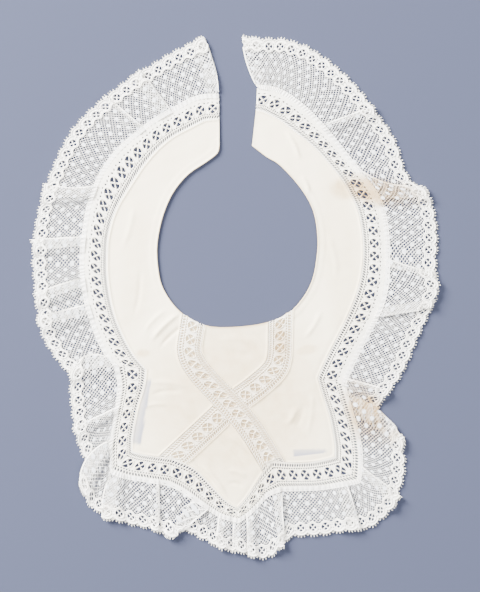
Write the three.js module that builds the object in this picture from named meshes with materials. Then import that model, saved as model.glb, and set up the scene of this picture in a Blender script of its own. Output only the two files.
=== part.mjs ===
// Lace collar of cotton batiste with lace insertion and a gathered lace edging, laid out flat.
// Millimetres, +Z up, the underside on z = 0. +Y runs from the front point to the back opening.
import * as THREE from "three";

// Named sizes
const WALL = 1.0;            // thickness of every cloth wall
const SEAM = 0.3;            // space left at a seam
const PITCH = WALL + SEAM;   // height from one cloth layer to the next
const BAND_WIDTH = 15.0;     // insertion bands that cross on the front yoke
const SCALLOP_PITCH = 8.3;   // one scallop of the edging
const SCALLOP_DEPTH = 1.7;
const WAVE_HEIGHT = 1.6;     // a soft ridge across the edging
const WAVE_WIDTH = 7.0;
const RAMP = 5.0;            // length in which a lifted layer comes down again
const TURN_STEPS = 3;        // flats in each folded edge
const PANEL_STEP = 3.2;      // longest flat along a panel's edge
const LINE_STEP = 2.6;       // usual distance between two lines across the edging
const LEAST_STEP = 0.25;     // closest that two of those lines may come
const LEAST_RAMP = 2.4;      // shortest ramp beside another fold
const FOLD_FADE = 0.4;       // share of a stretch in which the roundness of its folds fades out
const MITRE_END = 0.6;       // how far a panel's corner stays short of a mitre

const level = (n) => WALL / 2 + n * PITCH;

/** Rows of numbers as objects with named columns. */
const table = (columns, rows) => rows.map((row) => Object.fromEntries(columns.map((c, i) => [c, row[i]])));

// ---------------------------------------------------------------- shape tables

// The neck edge, from the left back corner round the front to the right back corner.
const NECK = table(["x", "y"], [
  [-10.4, 97.7], [-11.7, 92.8], [-19.2, 86.9], [-30.2, 79.5], [-39.3, 69.1], [-45.2, 57.4],
  [-49.1, 44.4], [-51.0, 30.1], [-49.7, 14.5], [-46.5, 4.1], [-38.7, -7.3], [-28.9, -14.8],
  [-15.9, -19.7], [2.9, -19.7], [19.8, -17.1], [33.5, -11.5], [43.2, -1.8], [49.7, 10.2],
  [52.6, 24.2], [53.3, 38.5], [50.4, 55.7], [41.9, 70.7], [28.9, 85.0], [20.5, 90.2], [10.7, 97.7],
]);

// The insertion round the outside of the batiste: sections across it, from the edging's foot
// (outside) to the batiste's edge (inside). The stretches meet at mitred corners.
const SECTION = ["footX", "footY", "clothX", "clothY"];
const BORDERS = {
  border_left_arm: table(SECTION, [
    [-10.7, 128.9, -10.7, 115.2], [-19.8, 128.9, -19.2, 114.6], [-28.3, 126.6, -24.4, 112.3],
    [-36.1, 122.4, -30.9, 109.0], [-45.8, 117.2, -40.6, 103.8], [-55.6, 111.0, -49.1, 97.0],
    [-63.4, 104.8, -55.2, 90.5], [-70.5, 99.0, -60.8, 83.4], [-77.7, 91.8, -66.0, 75.6],
    [-84.2, 82.7, -71.2, 67.4], [-88.7, 74.3, -75.7, 60.0], [-92.0, 65.8, -79.3, 51.8],
    [-94.6, 57.4, -81.6, 43.7], [-96.5, 46.3, -83.2, 34.6], [-98.2, 34.6, -83.5, 24.9],
    [-98.8, 23.6, -83.5, 15.8], [-98.5, 12.5, -82.5, 6.0], [-96.9, 2.1, -80.9, -3.7],
    [-94.6, -8.3, -78.3, -13.5], [-91.0, -19.3, -74.8, -22.6], [-86.8, -29.7, -70.5, -31.4],
    [-82.2, -38.2, -65.3, -39.8], [-76.4, -45.3, -58.2, -47.9],
  ]),
  border_left_side: table(SECTION, [
    [-76.4, -45.3, -58.2, -47.9], [-74.1, -57.7, -59.5, -58.3], [-75.7, -70.7, -63.4, -70.7],
    [-78.3, -83.7, -66.0, -83.7], [-80.0, -96.7, -67.3, -93.4], [-80.3, -112.9, -67.3, -101.2],
  ]),
  border_left_bottom: table(SECTION, [
    [-80.3, -112.9, -67.3, -101.2], [-69.9, -116.5, -61.4, -102.9], [-56.9, -118.5, -53.6, -104.2],
    [-42.6, -120.7, -41.3, -105.8],
  ]),
  border_left_point: table(SECTION, [
    [-42.6, -120.7, -41.3, -105.8], [-32.2, -126.3, -27.0, -112.0], [-19.8, -135.0, -15.9, -123.3],
    [-9.4, -141.5, -6.8, -132.8], [1.6, -144.8, 1.0, -138.0],
  ]),
  border_right_point: table(SECTION, [
    [1.6, -144.8, 1.0, -138.0], [8.1, -140.6, 6.2, -132.4], [14.6, -134.4, 11.4, -125.0],
    [20.5, -127.9, 16.6, -116.8], [28.9, -124.3, 23.1, -107.7],
  ]),
  border_right_bottom: table(SECTION, [
    [28.9, -124.3, 23.1, -107.7], [40.6, -124.0, 35.4, -108.4], [53.6, -123.7, 48.4, -108.1],
    [66.6, -121.7, 58.2, -106.4], [79.6, -119.4, 64.7, -104.5],
  ]),
  border_right_side: table(SECTION, [
    [79.6, -119.4, 64.7, -104.5], [80.3, -107.7, 64.7, -96.7], [79.6, -96.7, 63.4, -88.2],
    [77.0, -83.7, 61.1, -77.2], [73.1, -70.7, 57.5, -66.1], [69.2, -57.0, 53.6, -53.1],
  ]),
  border_right_arm: table(SECTION, [
    [69.2, -57.0, 53.6, -53.1], [73.8, -46.0, 58.2, -42.7], [79.6, -34.3, 63.7, -31.7],
    [85.5, -23.2, 69.2, -21.0], [90.7, -13.5, 74.4, -9.6], [94.6, -3.7, 78.3, 0.2],
    [96.9, 6.7, 81.2, 10.6], [97.8, 18.4, 82.9, 21.6], [97.8, 30.1, 83.2, 32.7],
    [97.2, 41.8, 82.2, 43.7], [95.2, 53.5, 80.0, 54.8], [91.7, 64.2, 75.7, 64.8],
    [85.5, 74.3, 70.2, 74.6], [78.3, 83.0, 64.0, 82.7], [71.8, 90.5, 57.9, 89.9],
    [65.0, 99.0, 51.4, 96.7], [58.8, 106.4, 44.2, 102.9], [51.7, 114.2, 36.7, 108.7],
    [43.9, 121.7, 29.6, 113.9], [35.4, 128.2, 22.4, 118.1], [26.3, 133.1, 17.2, 120.4],
    [14.0, 135.4, 13.3, 121.1],
  ]),
};

// Centre lines of the two bands that cross on the yoke, from the neck down.
const BAND_FROM_LEFT = table(["x", "y"], [
  [-26.7, -12.8], [-28.9, -25.8], [-29.9, -36.2], [-25.7, -46.0], [-15.3, -58.3],
  [-2.9, -71.0], [10.7, -87.6], [23.1, -107.7],
]);
const BAND_FROM_RIGHT = table(["x", "y"], [
  [29.2, -11.5], [28.9, -27.1], [28.3, -40.1], [24.7, -48.6], [12.0, -60.0],
  [-2.9, -71.0], [-19.8, -86.9], [-41.3, -106.8],
]);

// The lining under the yoke: sections from its upper edge to its lower edge, left to right.
// It stops short of the left side and of the right bottom, as the batiste there shows.
const LINING = table(["topX", "topY", "bottomX", "bottomY"], [
  [-61.8, -98.0, -61.8, -100.3], [-58.2, -77.2, -55.6, -101.6], [-56.4, -58.6, -49.1, -103.5],
  [-56.4, -46.8, -41.3, -104.8], [-58.2, -36.2, -29.6, -110.3], [-47.1, -22.6, -20.6, -115.6],
  [-34.8, -12.2, -13.4, -122.8], [-25.7, -17.1, -8.2, -128.2], [-15.9, -20.6, -3.4, -132.6],
  [1.6, -20.6, 1.0, -135.4], [17.9, -18.7, 4.8, -131.4], [27.6, -15.4, 9.2, -124.2],
  [36.7, -10.2, 13.4, -118.0], [49.1, -21.3, 17.0, -112.4], [58.6, -35.9, 22.8, -106.2],
  [52.9, -53.1, 38.4, -104.6], [56.2, -67.4, 49.7, -103.5], [60.1, -81.7, 56.2, -102.5],
  [62.7, -96.0, 62.7, -100.9],
]);

// The edging, a row for each line across it that matters, in its own order from the left back
// end round the front to the right back end.
// kind: run = lies on the table, wave = a soft ridge, hem or end = the turned back hem,
//       shown = folded edge on top, hidden = folded edge underneath.
// foot: millimetres along the border's outer line; edgeX, edgeY: the scalloped edge;
// bow: how far the middle of the line bends forward.
const LINE = ["kind", "foot", "edgeX", "edgeY", "bow"];
const EDGING = {
  edging_left_back: table(LINE, [
    ["end", 6.4, -28.6, 164.9, 0], ["hem", 0, -20.8, 169.2, -2], ["run", 17.9, -41.3, 158.8, 0],
    ["run", 25.9, -51.0, 152.9, 0], ["hidden", 39.3, -67.9, 142.5, 0], ["shown", 32.6, -62.1, 147.1, 0],
    ["run", 44.1, -74.4, 138.0, 0], ["wave", 54.2, -85.5, 129.5, 0], ["run", 65.8, -97.2, 119.1, 0],
    ["run", 77.7, -106.9, 108.1, 0], ["run", 88.7, -114.7, 93.8, 0], ["run", 96.6, -119.9, 81.4, 0],
    ["hidden", 108.5, -125.8, 65.2, 1.3], ["shown", 102.2, -124.5, 73.3, 2],
    ["run", 114.7, -128.4, 55.4, 0], ["run", 125.3, -130.7, 44.4, 0], ["hidden", 142.3, -131.6, 30.1, 0],
    ["shown", 136.4, -132.9, 36.9, 0], ["run", 152.8, -132.3, 22.3, 0],
  ]),
  edging_left_arm: table(LINE, [
    ["run", 152.8, -132.3, 22.3, 0], ["hidden", 167.9, -129.7, -4.4, 0], ["shown", 162.6, -131.0, 2.1, 0],
    ["hidden", 186.6, -127.7, -19.3, 0], ["shown", 180.4, -129.7, -13.5, 0],
    ["run", 195.2, -124.5, -29.1, 0], ["run", 204.5, -118.6, -38.2, 0],
    ["hidden", 225.4, -107.2, -53.2, -2], ["shown", 219.2, -106.9, -45.3, -5.2],
    ["run", 236.7, -107.9, -62.2, 0],
  ]),
  edging_left_side: table(LINE, [
    ["run", 236.7, -107.9, -62.2, 0], ["run", 245.9, -106.9, -72.0, 0], ["wave", 253.1, -105.3, -86.9, 0],
    ["run", 259.1, -101.7, -98.6, 0], ["run", 265.7, -97.5, -107.7, 0],
    ["hidden", 278.0, -98.0, -130.6, -2], ["shown", 273.8, -101.7, -124.0, -6.5],
    ["run", 285.9, -94.6, -137.6, 0], ["hidden", 299.9, -78.4, -145.6, -1],
    ["shown", 294.5, -86.8, -144.8, -2.6], ["run", 306.6, -64.7, -149.3, 0],
    ["run", 316.6, -55.6, -151.3, 0],
  ]),
  edging_left_point: table(LINE, [
    ["run", 316.6, -55.6, -151.3, 0], ["wave", 324.5, -51.2, -152.7, 0],
    ["shown", 363.0, -41.0, -158.4, 0], ["hidden", 350.5, -45.2, -155.6, 0],
    ["run", 358.6, -31.5, -152.6, 0], ["run", 363.4, -23.7, -157.1, 0], ["run", 367.0, -17.9, -159.7, 0],
    ["hidden", 374.3, -8.7, -164.8, 0], ["shown", 370.6, -13.3, -162.3, 0],
    ["hidden", 384.3, 2.4, -166.2, 0], ["shown", 380.4, -2.3, -166.2, 0],
    ["hidden", 393.4, 12.0, -169.9, 0], ["shown", 389.6, 8.1, -168.8, 0], ["run", 399.8, 17.9, -170.8, 0],
  ]),
  edging_right_point: table(LINE, [
    ["run", 399.8, 17.9, -170.8, 0], ["run", 405.8, 23.6, -169.6, 0], ["shown", 418.6, 32.0, -162.9, 0],
    ["hidden", 413.1, 27.9, -165.0, 0], ["run", 421.7, 36.0, -156.4, 0], ["run", 430.8, 45.8, -155.8, 0],
    ["run", 441.9, 56.9, -155.2, 0],
  ]),
  edging_right_corner: table(LINE, [
    ["run", 441.9, 56.9, -155.2, 0], ["run", 448.4, 64.0, -153.9, 0], ["shown", 461.5, 81.6, -151.9, 0],
    ["hidden", 454.9, 73.5, -152.6, 0], ["run", 464.5, 88.1, -150.6, 0], ["run", 468.0, 96.2, -144.4, 0],
    ["shown", 478.6, 107.6, -129.8, 0], ["hidden", 473.8, 103.4, -136.6, 0],
    ["run", 480.6, 109.5, -118.1, 0], ["run", 485.1, 110.5, -107.1, 0],
  ]),
  edging_right_side: table(LINE, [
    ["run", 485.1, 110.5, -107.1, 0], ["shown", 530.3, 110.6, -93.1, 3.5],
    ["hidden", 511.7, 108.6, -99.3, 0.8], ["run", 521.7, 93.0, -81.7, 0], ["run", 531.4, 94.6, -68.7, 0],
    ["wave", 536.2, 99.8, -62.2, 0], ["run", 546.1, 106.9, -53.1, 0], ["run", 556.6, 112.8, -41.4, 0],
  ]),
  edging_right_arm: table(LINE, [
    ["run", 556.6, 112.8, -41.4, 0], ["run", 570.2, 118.0, -28.4, 0], ["hidden", 588.1, 130.3, -1.8, 0],
    ["shown", 581.3, 127.7, -7.6, 0], ["run", 597.2, 132.9, 6.7, 0], ["shown", 620.7, 128.4, 16.4, -1.3],
    ["hidden", 615.5, 131.0, 11.2, 0], ["run", 625.9, 130.3, 24.9, 0], ["run", 632.4, 131.3, 32.7, 0],
  ]),
  edging_right_back: table(LINE, [
    ["run", 632.4, 131.3, 32.7, 0], ["run", 641.6, 131.0, 44.4, 0], ["run", 649.5, 128.9, 57.4, 0],
    ["shown", 686.1, 122.0, 72.3, -5.2], ["hidden", 660.9, 126.3, 65.3, -1.2],
    ["run", 673.7, 114.2, 74.8, 0], ["run", 681.9, 109.5, 83.4, 0], ["run", 690.2, 107.6, 91.2, 0],
    ["run", 699.5, 104.3, 100.9, 0], ["run", 709.4, 98.5, 110.7, 0], ["wave", 719.0, 90.0, 122.4, 0],
    ["run", 727.5, 82.9, 131.5, 0], ["run", 736.7, 73.1, 142.5, 0], ["run", 746.5, 59.5, 154.2, 0],
    ["run", 754.1, 46.5, 162.7, 0], ["run", 758.9, 32.2, 167.5, 0], ["hem", 769.4, 4.2, 168.8, 2],
    ["end", 764.3, 15.2, 167.7, 0],
  ]),
};

// ---------------------------------------------------------------- lines in the plane

const V = (x, y) => new THREE.Vector2(x, y);
const mix = (a, b, t) => a + (b - a) * t;
const mixPoint = (p, q, t) => V(mix(p.x, q.x, t), mix(p.y, q.y, t));
const smooth = (t) => { const c = Math.min(1, Math.max(0, t)); return c * c * (3 - 2 * c); };

/** A smooth line through the points, with `per` steps to each stretch. */
function curve(points, per) {
  const n = points.length;
  const at = (i) => (i < 0 ? points[0].clone().multiplyScalar(2).sub(points[1])
    : i >= n ? points[n - 1].clone().multiplyScalar(2).sub(points[n - 2]) : points[i]);
  const line = [];
  for (let i = 0; i < n - 1; i += 1) {
    const [a, b, c, d] = [at(i - 1), at(i), at(i + 1), at(i + 2)];
    for (let k = 0; k < per; k += 1) {
      const t = k / per;
      const value = (w, x, y, z) => 0.5 * (2 * x + (y - w) * t + (2 * w - 5 * x + 4 * y - z) * t * t
        + (3 * x - w - 3 * y + z) * t * t * t);
      line.push(V(value(a.x, b.x, c.x, d.x), value(a.y, b.y, c.y, d.y)));
    }
  }
  line.push(points[n - 1].clone());
  return line;
}

/** Length along the line up to each of its points. */
function stations(line) {
  const out = [0];
  for (let i = 1; i < line.length; i += 1) out.push(out[i - 1] + line[i].distanceTo(line[i - 1]));
  return out;
}

/** The point and the forward direction at a length along the line. */
function along(line, sums, s) {
  const limit = Math.min(sums[sums.length - 1], Math.max(0, s));
  let i = 0;
  while (i < line.length - 2 && sums[i + 1] < limit) i += 1;
  const t = (limit - sums[i]) / (sums[i + 1] - sums[i]);
  return { point: mixPoint(line[i], line[i + 1], t), tangent: line[i + 1].clone().sub(line[i]).normalize() };
}

/** The part of a line between two lengths. */
function slice(line, from, to) {
  const sums = stations(line);
  const inside = line.filter((_, i) => sums[i] > from + 0.05 && sums[i] < to - 0.05);
  return [along(line, sums, from).point, ...inside, along(line, sums, to).point];
}

/** The line moved sideways, to the left of its travel for a positive distance. */
function offset(line, distance) {
  return line.map((p, i) => {
    const before = i > 0 ? p.clone().sub(line[i - 1]).normalize() : null;
    const after = i < line.length - 1 ? line[i + 1].clone().sub(p).normalize() : null;
    const t = (before && after ? before.clone().add(after) : before ?? after).normalize();
    const normal = V(-t.y, t.x);
    const square = before && after ? Math.max(0.5, normal.dot(V(-after.y, after.x))) : 1;
    return p.clone().addScaledVector(normal, distance / square);
  });
}

/** Where two lines cross: the length along each. */
function crossing(lineA, lineB) {
  const sumsA = stations(lineA);
  const sumsB = stations(lineB);
  for (let i = 0; i < lineA.length - 1; i += 1) {
    for (let j = 0; j < lineB.length - 1; j += 1) {
      const r = lineA[i + 1].clone().sub(lineA[i]);
      const s = lineB[j + 1].clone().sub(lineB[j]);
      const cross = r.cross(s);
      if (Math.abs(cross) < 1e-9) continue;
      const gap = lineB[j].clone().sub(lineA[i]);
      const t = gap.cross(s) / cross;
      const u = gap.cross(r) / cross;
      if (t >= 0 && t <= 1 && u >= 0 && u <= 1) {
        return { a: sumsA[i] + t * r.length(), b: sumsB[j] + u * s.length() };
      }
    }
  }
  throw new Error("the lines do not cross");
}

/** The line cut again into n equal steps. */
function even(line, n) {
  const sums = stations(line);
  return Array.from({ length: n + 1 }, (_, i) => along(line, sums, (sums[sums.length - 1] * i) / n).point);
}

// ---------------------------------------------------------------- cloth walls

/** A closed wall on a grid of mid-surface points: half the thickness to each side of it.
 *  outward: for each row, the direction in which the last column's wall must not lean. */
function wall(grid, outward = null) {
  const rows = grid.length;
  const columns = grid[0].length;
  const position = [];
  const normalAt = (i, j) => {
    const u = grid[Math.min(rows - 1, i + 1)][j].clone().sub(grid[Math.max(0, i - 1)][j]);
    const v = grid[i][Math.min(columns - 1, j + 1)].clone().sub(grid[i][Math.max(0, j - 1)]);
    const normal = u.cross(v).normalize();
    if (outward && j === columns - 1) normal.addScaledVector(outward[i], -normal.dot(outward[i])).normalize();
    return normal;
  };
  for (const side of [1, -1]) {
    for (let i = 0; i < rows; i += 1) {
      for (let j = 0; j < columns; j += 1) {
        const p = grid[i][j].clone().addScaledVector(normalAt(i, j), (side * WALL) / 2);
        position.push(p.x, p.y, p.z);
      }
    }
  }
  const at = (side, i, j) => side * rows * columns + i * columns + j;
  const index = [];
  const quad = (a, b, c, d) => index.push(a, b, c, a, c, d);
  for (let i = 0; i < rows - 1; i += 1) {
    for (let j = 0; j < columns - 1; j += 1) {
      quad(at(0, i, j), at(0, i + 1, j), at(0, i + 1, j + 1), at(0, i, j + 1));
      quad(at(1, i, j), at(1, i, j + 1), at(1, i + 1, j + 1), at(1, i + 1, j));
    }
    quad(at(0, i, 0), at(1, i, 0), at(1, i + 1, 0), at(0, i + 1, 0));
    quad(at(0, i + 1, columns - 1), at(1, i + 1, columns - 1), at(1, i, columns - 1), at(0, i, columns - 1));
  }
  for (let j = 0; j < columns - 1; j += 1) {
    quad(at(0, 0, j + 1), at(1, 0, j + 1), at(1, 0, j), at(0, 0, j));
    quad(at(0, rows - 1, j), at(1, rows - 1, j), at(1, rows - 1, j + 1), at(0, rows - 1, j + 1));
  }
  const geometry = new THREE.BufferGeometry();
  geometry.setAttribute("position", new THREE.Float32BufferAttribute(position, 3));
  geometry.setIndex(index);
  geometry.computeVertexNormals();
  return geometry;
}

/** A flat-lying wall between two lines cut into the same number of steps. */
function between(lineA, lineB, across, heights) {
  return wall(lineA.map((p, i) => Array.from({ length: across + 1 }, (_, j) => {
    const q = mixPoint(p, lineB[i], j / across);
    return new THREE.Vector3(q.x, q.y, heights[i]);
  })));
}

const footLines = Object.values(BORDERS).map((rows) => curve(rows.map((r) => V(r.footX, r.footY)), 4));
const clothLines = Object.values(BORDERS).map((rows) => curve(rows.map((r) => V(r.clothX, r.clothY)), 4));
const joined = (lines) => lines.flatMap((line, i) => (i === 0 ? line : line.slice(1)));
const FOOT = joined(footLines);
const CLOTH = joined(clothLines);
const FOOT_SUMS = stations(FOOT);

/** One stretch of the insertion round the batiste, its ends drawn in for the mitres. */
function border(foot, cloth, first, last) {
  const a = foot.map((p) => p.clone());
  const b = cloth.map((p) => p.clone());
  const draw = (end, next) => {
    const seam = b[end].clone().sub(a[end]).normalize();
    const inward = V(-seam.y, seam.x);
    if (inward.dot(a[next].clone().sub(a[end])) < 0) inward.negate();
    a[end].addScaledVector(inward, SEAM / 2);
    b[end].addScaledVector(inward, SEAM / 2);
  };
  if (!first) draw(0, 1);
  if (!last) draw(a.length - 1, a.length - 2);
  return between(b, a, 1, a.map(() => level(0)));
}

// ---------------------------------------------------------------- yoke pieces

const neck = curve(NECK.map((p) => V(p.x, p.y)), 3);
const batisteEdge = offset(CLOTH, SEAM);

/** The lines of one band: its centre, its two edges and the seams of the pieces beside it. */
function bandLines(rows) {
  const middle = curve(rows.map((p) => V(p.x, p.y)), 4);
  const beyond = (end, next) => {
    const outwards = end.clone().sub(next).normalize();
    return end.clone().addScaledVector(outwards, 2 * BAND_WIDTH);
  };
  const centre = [beyond(middle[0], middle[1]), ...middle, beyond(middle.at(-1), middle.at(-2))];
  return {
    centre,
    right: offset(centre, BAND_WIDTH / 2),
    left: offset(centre, -BAND_WIDTH / 2),
    seamRight: offset(centre, BAND_WIDTH / 2 + SEAM),
    seamLeft: offset(centre, -BAND_WIDTH / 2 - SEAM),
  };
}
const bandA = bandLines(BAND_FROM_LEFT);
const bandB = bandLines(BAND_FROM_RIGHT);
const part = (line, lineFrom, lineTo) => slice(line, lineFrom ? crossing(line, lineFrom).a : 0,
  lineTo ? crossing(line, lineTo).a : Infinity);

/** A band between two end lines, three points across so that an end can follow a corner. */
function band(lines, from, to, steps) {
  const cut = [lines.left, lines.centre, lines.right].map((line) => even(part(line, from, to), steps));
  return wall(cut[0].map((_, i) => cut.map((line) => new THREE.Vector3(line[i].x, line[i].y, level(1)))));
}

/** The batiste of one arm and its half of the yoke, rising onto the lining where that starts. */
function armPanel(inner, outer, pairs) {
  const innerSums = stations(inner);
  const outerSums = stations(outer);
  const a = [];
  const b = [];
  const heights = [];
  pairs.forEach((pair, k) => {
    if (k === 0) return;
    const last = pairs[k - 1];
    const steps = Math.ceil(Math.max(pair.inner - last.inner, pair.outer - last.outer) / PANEL_STEP);
    for (let i = k === 1 ? 0 : 1; i <= steps; i += 1) {
      const t = i / steps;
      a.push(along(inner, innerSums, mix(last.inner, pair.inner, t)).point);
      b.push(along(outer, outerSums, mix(last.outer, pair.outer, t)).point);
      heights.push(level(mix(last.layer, pair.layer, smooth(t))));
    }
  });
  return between(a, b, 2, heights);
}

function leftPanel() {
  const neckPart = part(neck, null, bandA.seamLeft);
  const upper = part(bandA.seamLeft, neck, bandB.seamLeft);
  const lower = part(bandB.seamLeft, bandA.seamLeft, batisteEdge);
  const inner = [...neckPart, ...upper.slice(1), ...lower.slice(1)];
  const outer = part(batisteEdge, null, bandB.seamLeft);
  const toNeck = stations(neckPart).at(-1);
  const toCross = toNeck + stations(upper).at(-1);
  const innerEnd = toCross + stations(lower).at(-1);
  const outerEnd = stations(outer).at(-1);
  return armPanel(inner, outer, table(["inner", "outer", "layer"], [
    [0, 0, 0], [38, 40, 0], [100, 124, 0], [toNeck - 15, 171, 0], [toNeck - 2, 188, 1],
    [toNeck, 192, 1], [toNeck + 20, CLOTH_SUMS.leftArmEnd, 1], [toCross, CLOTH_SUMS.leftArmEnd + 30, 1],
    [toCross + 22, CLOTH_SUMS.leftSideEnd, 1], [innerEnd, outerEnd, 1],
  ]));
}

function rightPanel() {
  const lower = part(bandA.seamRight, bandB.seamRight, batisteEdge).reverse();
  const upper = part(bandB.seamRight, neck, bandA.seamRight).reverse();
  const neckPart = part(neck, bandB.seamRight, null);
  const inner = [...lower, ...upper.slice(1), ...neckPart.slice(1)];
  const start = crossing(batisteEdge, bandA.seamRight).a;
  const outer = slice(batisteEdge, start, Infinity);
  const toCross = stations(lower).at(-1);
  const toNeck = toCross + stations(upper).at(-1);
  const innerEnd = toNeck + stations(neckPart).at(-1);
  const outerEnd = stations(outer).at(-1);
  return armPanel(inner, outer, table(["inner", "outer", "layer"], [
    [0, 0, 1], [toCross - 22, CLOTH_SUMS.rightBottomEnd - start, 1],
    [toCross, CLOTH_SUMS.rightSideEnd - start - 26, 1], [toNeck - 20, CLOTH_SUMS.rightSideEnd - start, 1],
    [toNeck, outerEnd - 180, 1], [toNeck + 2, outerEnd - 176, 1], [toNeck + 16, outerEnd - 158, 0],
    [innerEnd - 96, outerEnd - 118, 0], [innerEnd - 36, outerEnd - 40, 0], [innerEnd, outerEnd, 0],
  ]));
}

/** Lengths along the batiste's edge at the corners where two borders meet. */
const CLOTH_SUMS = (() => {
  const edgeSums = stations(batisteEdge);
  const at = (count) => edgeSums[joined(clothLines.slice(0, count)).length - 1];
  return { leftArmEnd: at(1), leftSideEnd: at(2), point: at(4), rightBottomEnd: at(6), rightSideEnd: at(7) };
})();

/** The small batiste piece between the bands under the neck edge. */
function neckInset(steps) {
  const side = (line, other) => {
    const whole = part(line, neck, other);
    return even(slice(whole, 0, stations(whole).at(-1) - MITRE_END), steps);
  };
  const left = side(bandA.seamRight, bandB.seamLeft);
  const right = side(bandB.seamLeft, bandA.seamRight);
  const top = even(part(neck, bandA.seamRight, bandB.seamLeft), 6);
  // The rows start on the curved neck edge and straighten as they go down.
  return wall(left.map((p, i) => top.map((edge, j) => {
    const row = mixPoint(p, right[i], j / 6);
    const onTop = mixPoint(left[0], right[0], j / 6);
    const fade = Math.max(0, 1 - i / (steps * 0.6));
    return new THREE.Vector3(row.x + (edge.x - onTop.x) * fade, row.y + (edge.y - onTop.y) * fade, level(1));
  })));
}

/** The batiste piece between the bands and the two borders that meet at the point. */
function pointPanel() {
  const top = (line, other) => {
    const whole = part(line, other, batisteEdge);
    return slice(whole, MITRE_END, stations(whole).at(-1));
  };
  const leftTop = top(bandB.seamRight, bandA.seamLeft);
  const rightTop = top(bandA.seamLeft, bandB.seamRight);
  const [from, to] = [crossing(batisteEdge, bandB.seamRight).a, crossing(batisteEdge, bandA.seamLeft).a];
  const leftLow = slice(batisteEdge, from, CLOTH_SUMS.point - MITRE_END);
  const rightLow = slice(batisteEdge, CLOTH_SUMS.point + MITRE_END, to).reverse();
  const left = [...even(leftTop, 6), ...even(leftLow, 7).slice(1)];
  const right = [...even(rightTop, 6), ...even(rightLow, 7).slice(1)];
  return between(right, left, 4, left.map(() => level(1)));
}

function lining() {
  const top = curve(LINING.map((r) => V(r.topX, r.topY)), 2);
  const bottom = curve(LINING.map((r) => V(r.bottomX, r.bottomY)), 2);
  return between(bottom, top, 3, top.map(() => level(0)));
}

// ---------------------------------------------------------------- gathered edging

const FOOT_SEAM = offset(FOOT, -SEAM - 0.1);
const CORNERS = footLines.slice(0, -1).map((_, i) => FOOT_SUMS[joined(footLines.slice(0, i + 1)).length - 1]);
const footPoint = (s) => along(FOOT_SEAM, FOOT_SUMS, s).point;

/** A line across the edging: its two ends, the bend in its middle and its forward direction. */
function across(row) {
  const foot = footPoint(row.foot);
  const edge = V(row.edgeX, row.edgeY);
  const reach = edge.clone().sub(foot).normalize();
  return { foot, edge, bow: row.bow, reach, forward: V(-reach.y, reach.x) };
}

const mixRow = (a, b, t) => ({
  foot: mix(a.foot, b.foot, t), edgeX: mix(a.edgeX, b.edgeX, t), edgeY: mix(a.edgeY, b.edgeY, t),
  bow: mix(a.bow, b.bow, t),
});

const distanceBetween = (a, b) => {
  const [p, q] = [across(a), across(b)];
  return (p.foot.distanceTo(q.foot) + p.edge.distanceTo(q.edge)) / 2;
};

const isTurn = (row) => row.kind === "shown" || row.kind === "hidden" || row.kind === "hem";

/** The edging's path: lines across it in order, each with its height, turning back at the folds. */
function path(rows) {
  const out = [];
  let height = 0;                                    // layer number of the stretch being laid
  let direction = rows[0].kind === "end" ? -1 : 1;   // +1 along the border, -1 back along it
  const layersAtTurn = { hem: [0, 1], hidden: [0, 1], shown: [1, 2] };
  for (let k = 0; k < rows.length; k += 1) {
    const row = rows[k];
    if (isTurn(row)) {
      const [low, high] = layersAtTurn[row.kind];
      const goingUp = row.kind === "hem" ? k === 1
        : row.kind === "hidden" ? direction === 1 : direction === -1;
      const [from, to] = goingUp ? [low, high] : [high, low];
      out.push({ ...row, turn: { from, to, direction } });
      direction = -direction;
      height = to;
    } else {
      out.push({ ...row, layer: height });
    }
  }
  return out;
}

/** The path parted at its folds, with the layer that each part starts and ends on. */
function laid(rows) {
  const steps = [];
  const marked = path(rows);
  // Stretches of the path from one fold to the next.
  const stretches = [];
  let current = [];
  for (const row of marked) {
    current.push(row);
    if (row.turn) {
      stretches.push(current);
      current = [row];
    }
  }
  stretches.push(current);
  stretches.forEach((stretch, n) => {
    const start = stretch[0].turn;
    const stop = n < stretches.length - 1 ? stretch.at(-1).turn : null;
    const from = start ? start.to : 0;
    const to = stop ? stop.from : 0;
    // Lifted until clear of the fold underneath: the hidden fold that pairs with a shown one.
    const before = n > 0 && stretches[n - 1].length && start ? stretches[n - 1][0] : null;
    const after = stop ? stretches[n + 1].at(-1) : null;
    const points = [...stretch];
    // The line over the hidden fold is where the ramp starts or ends.
    if (from >= 1 && to < from && before) points.splice(1, 0, { ...before, clear: "after" });
    if (to >= 1 && from < to && after) points.splice(points.length - 1, 0, { ...after, clear: "before" });
    steps.push({ points, from, to, start, stop });
  });
  return steps;
}

/** A ramp's length: shorter where the next fold leaves less room for it. */
const rampRoom = (room) => Math.max(LEAST_RAMP, Math.min(RAMP, room - RAMP));

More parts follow.
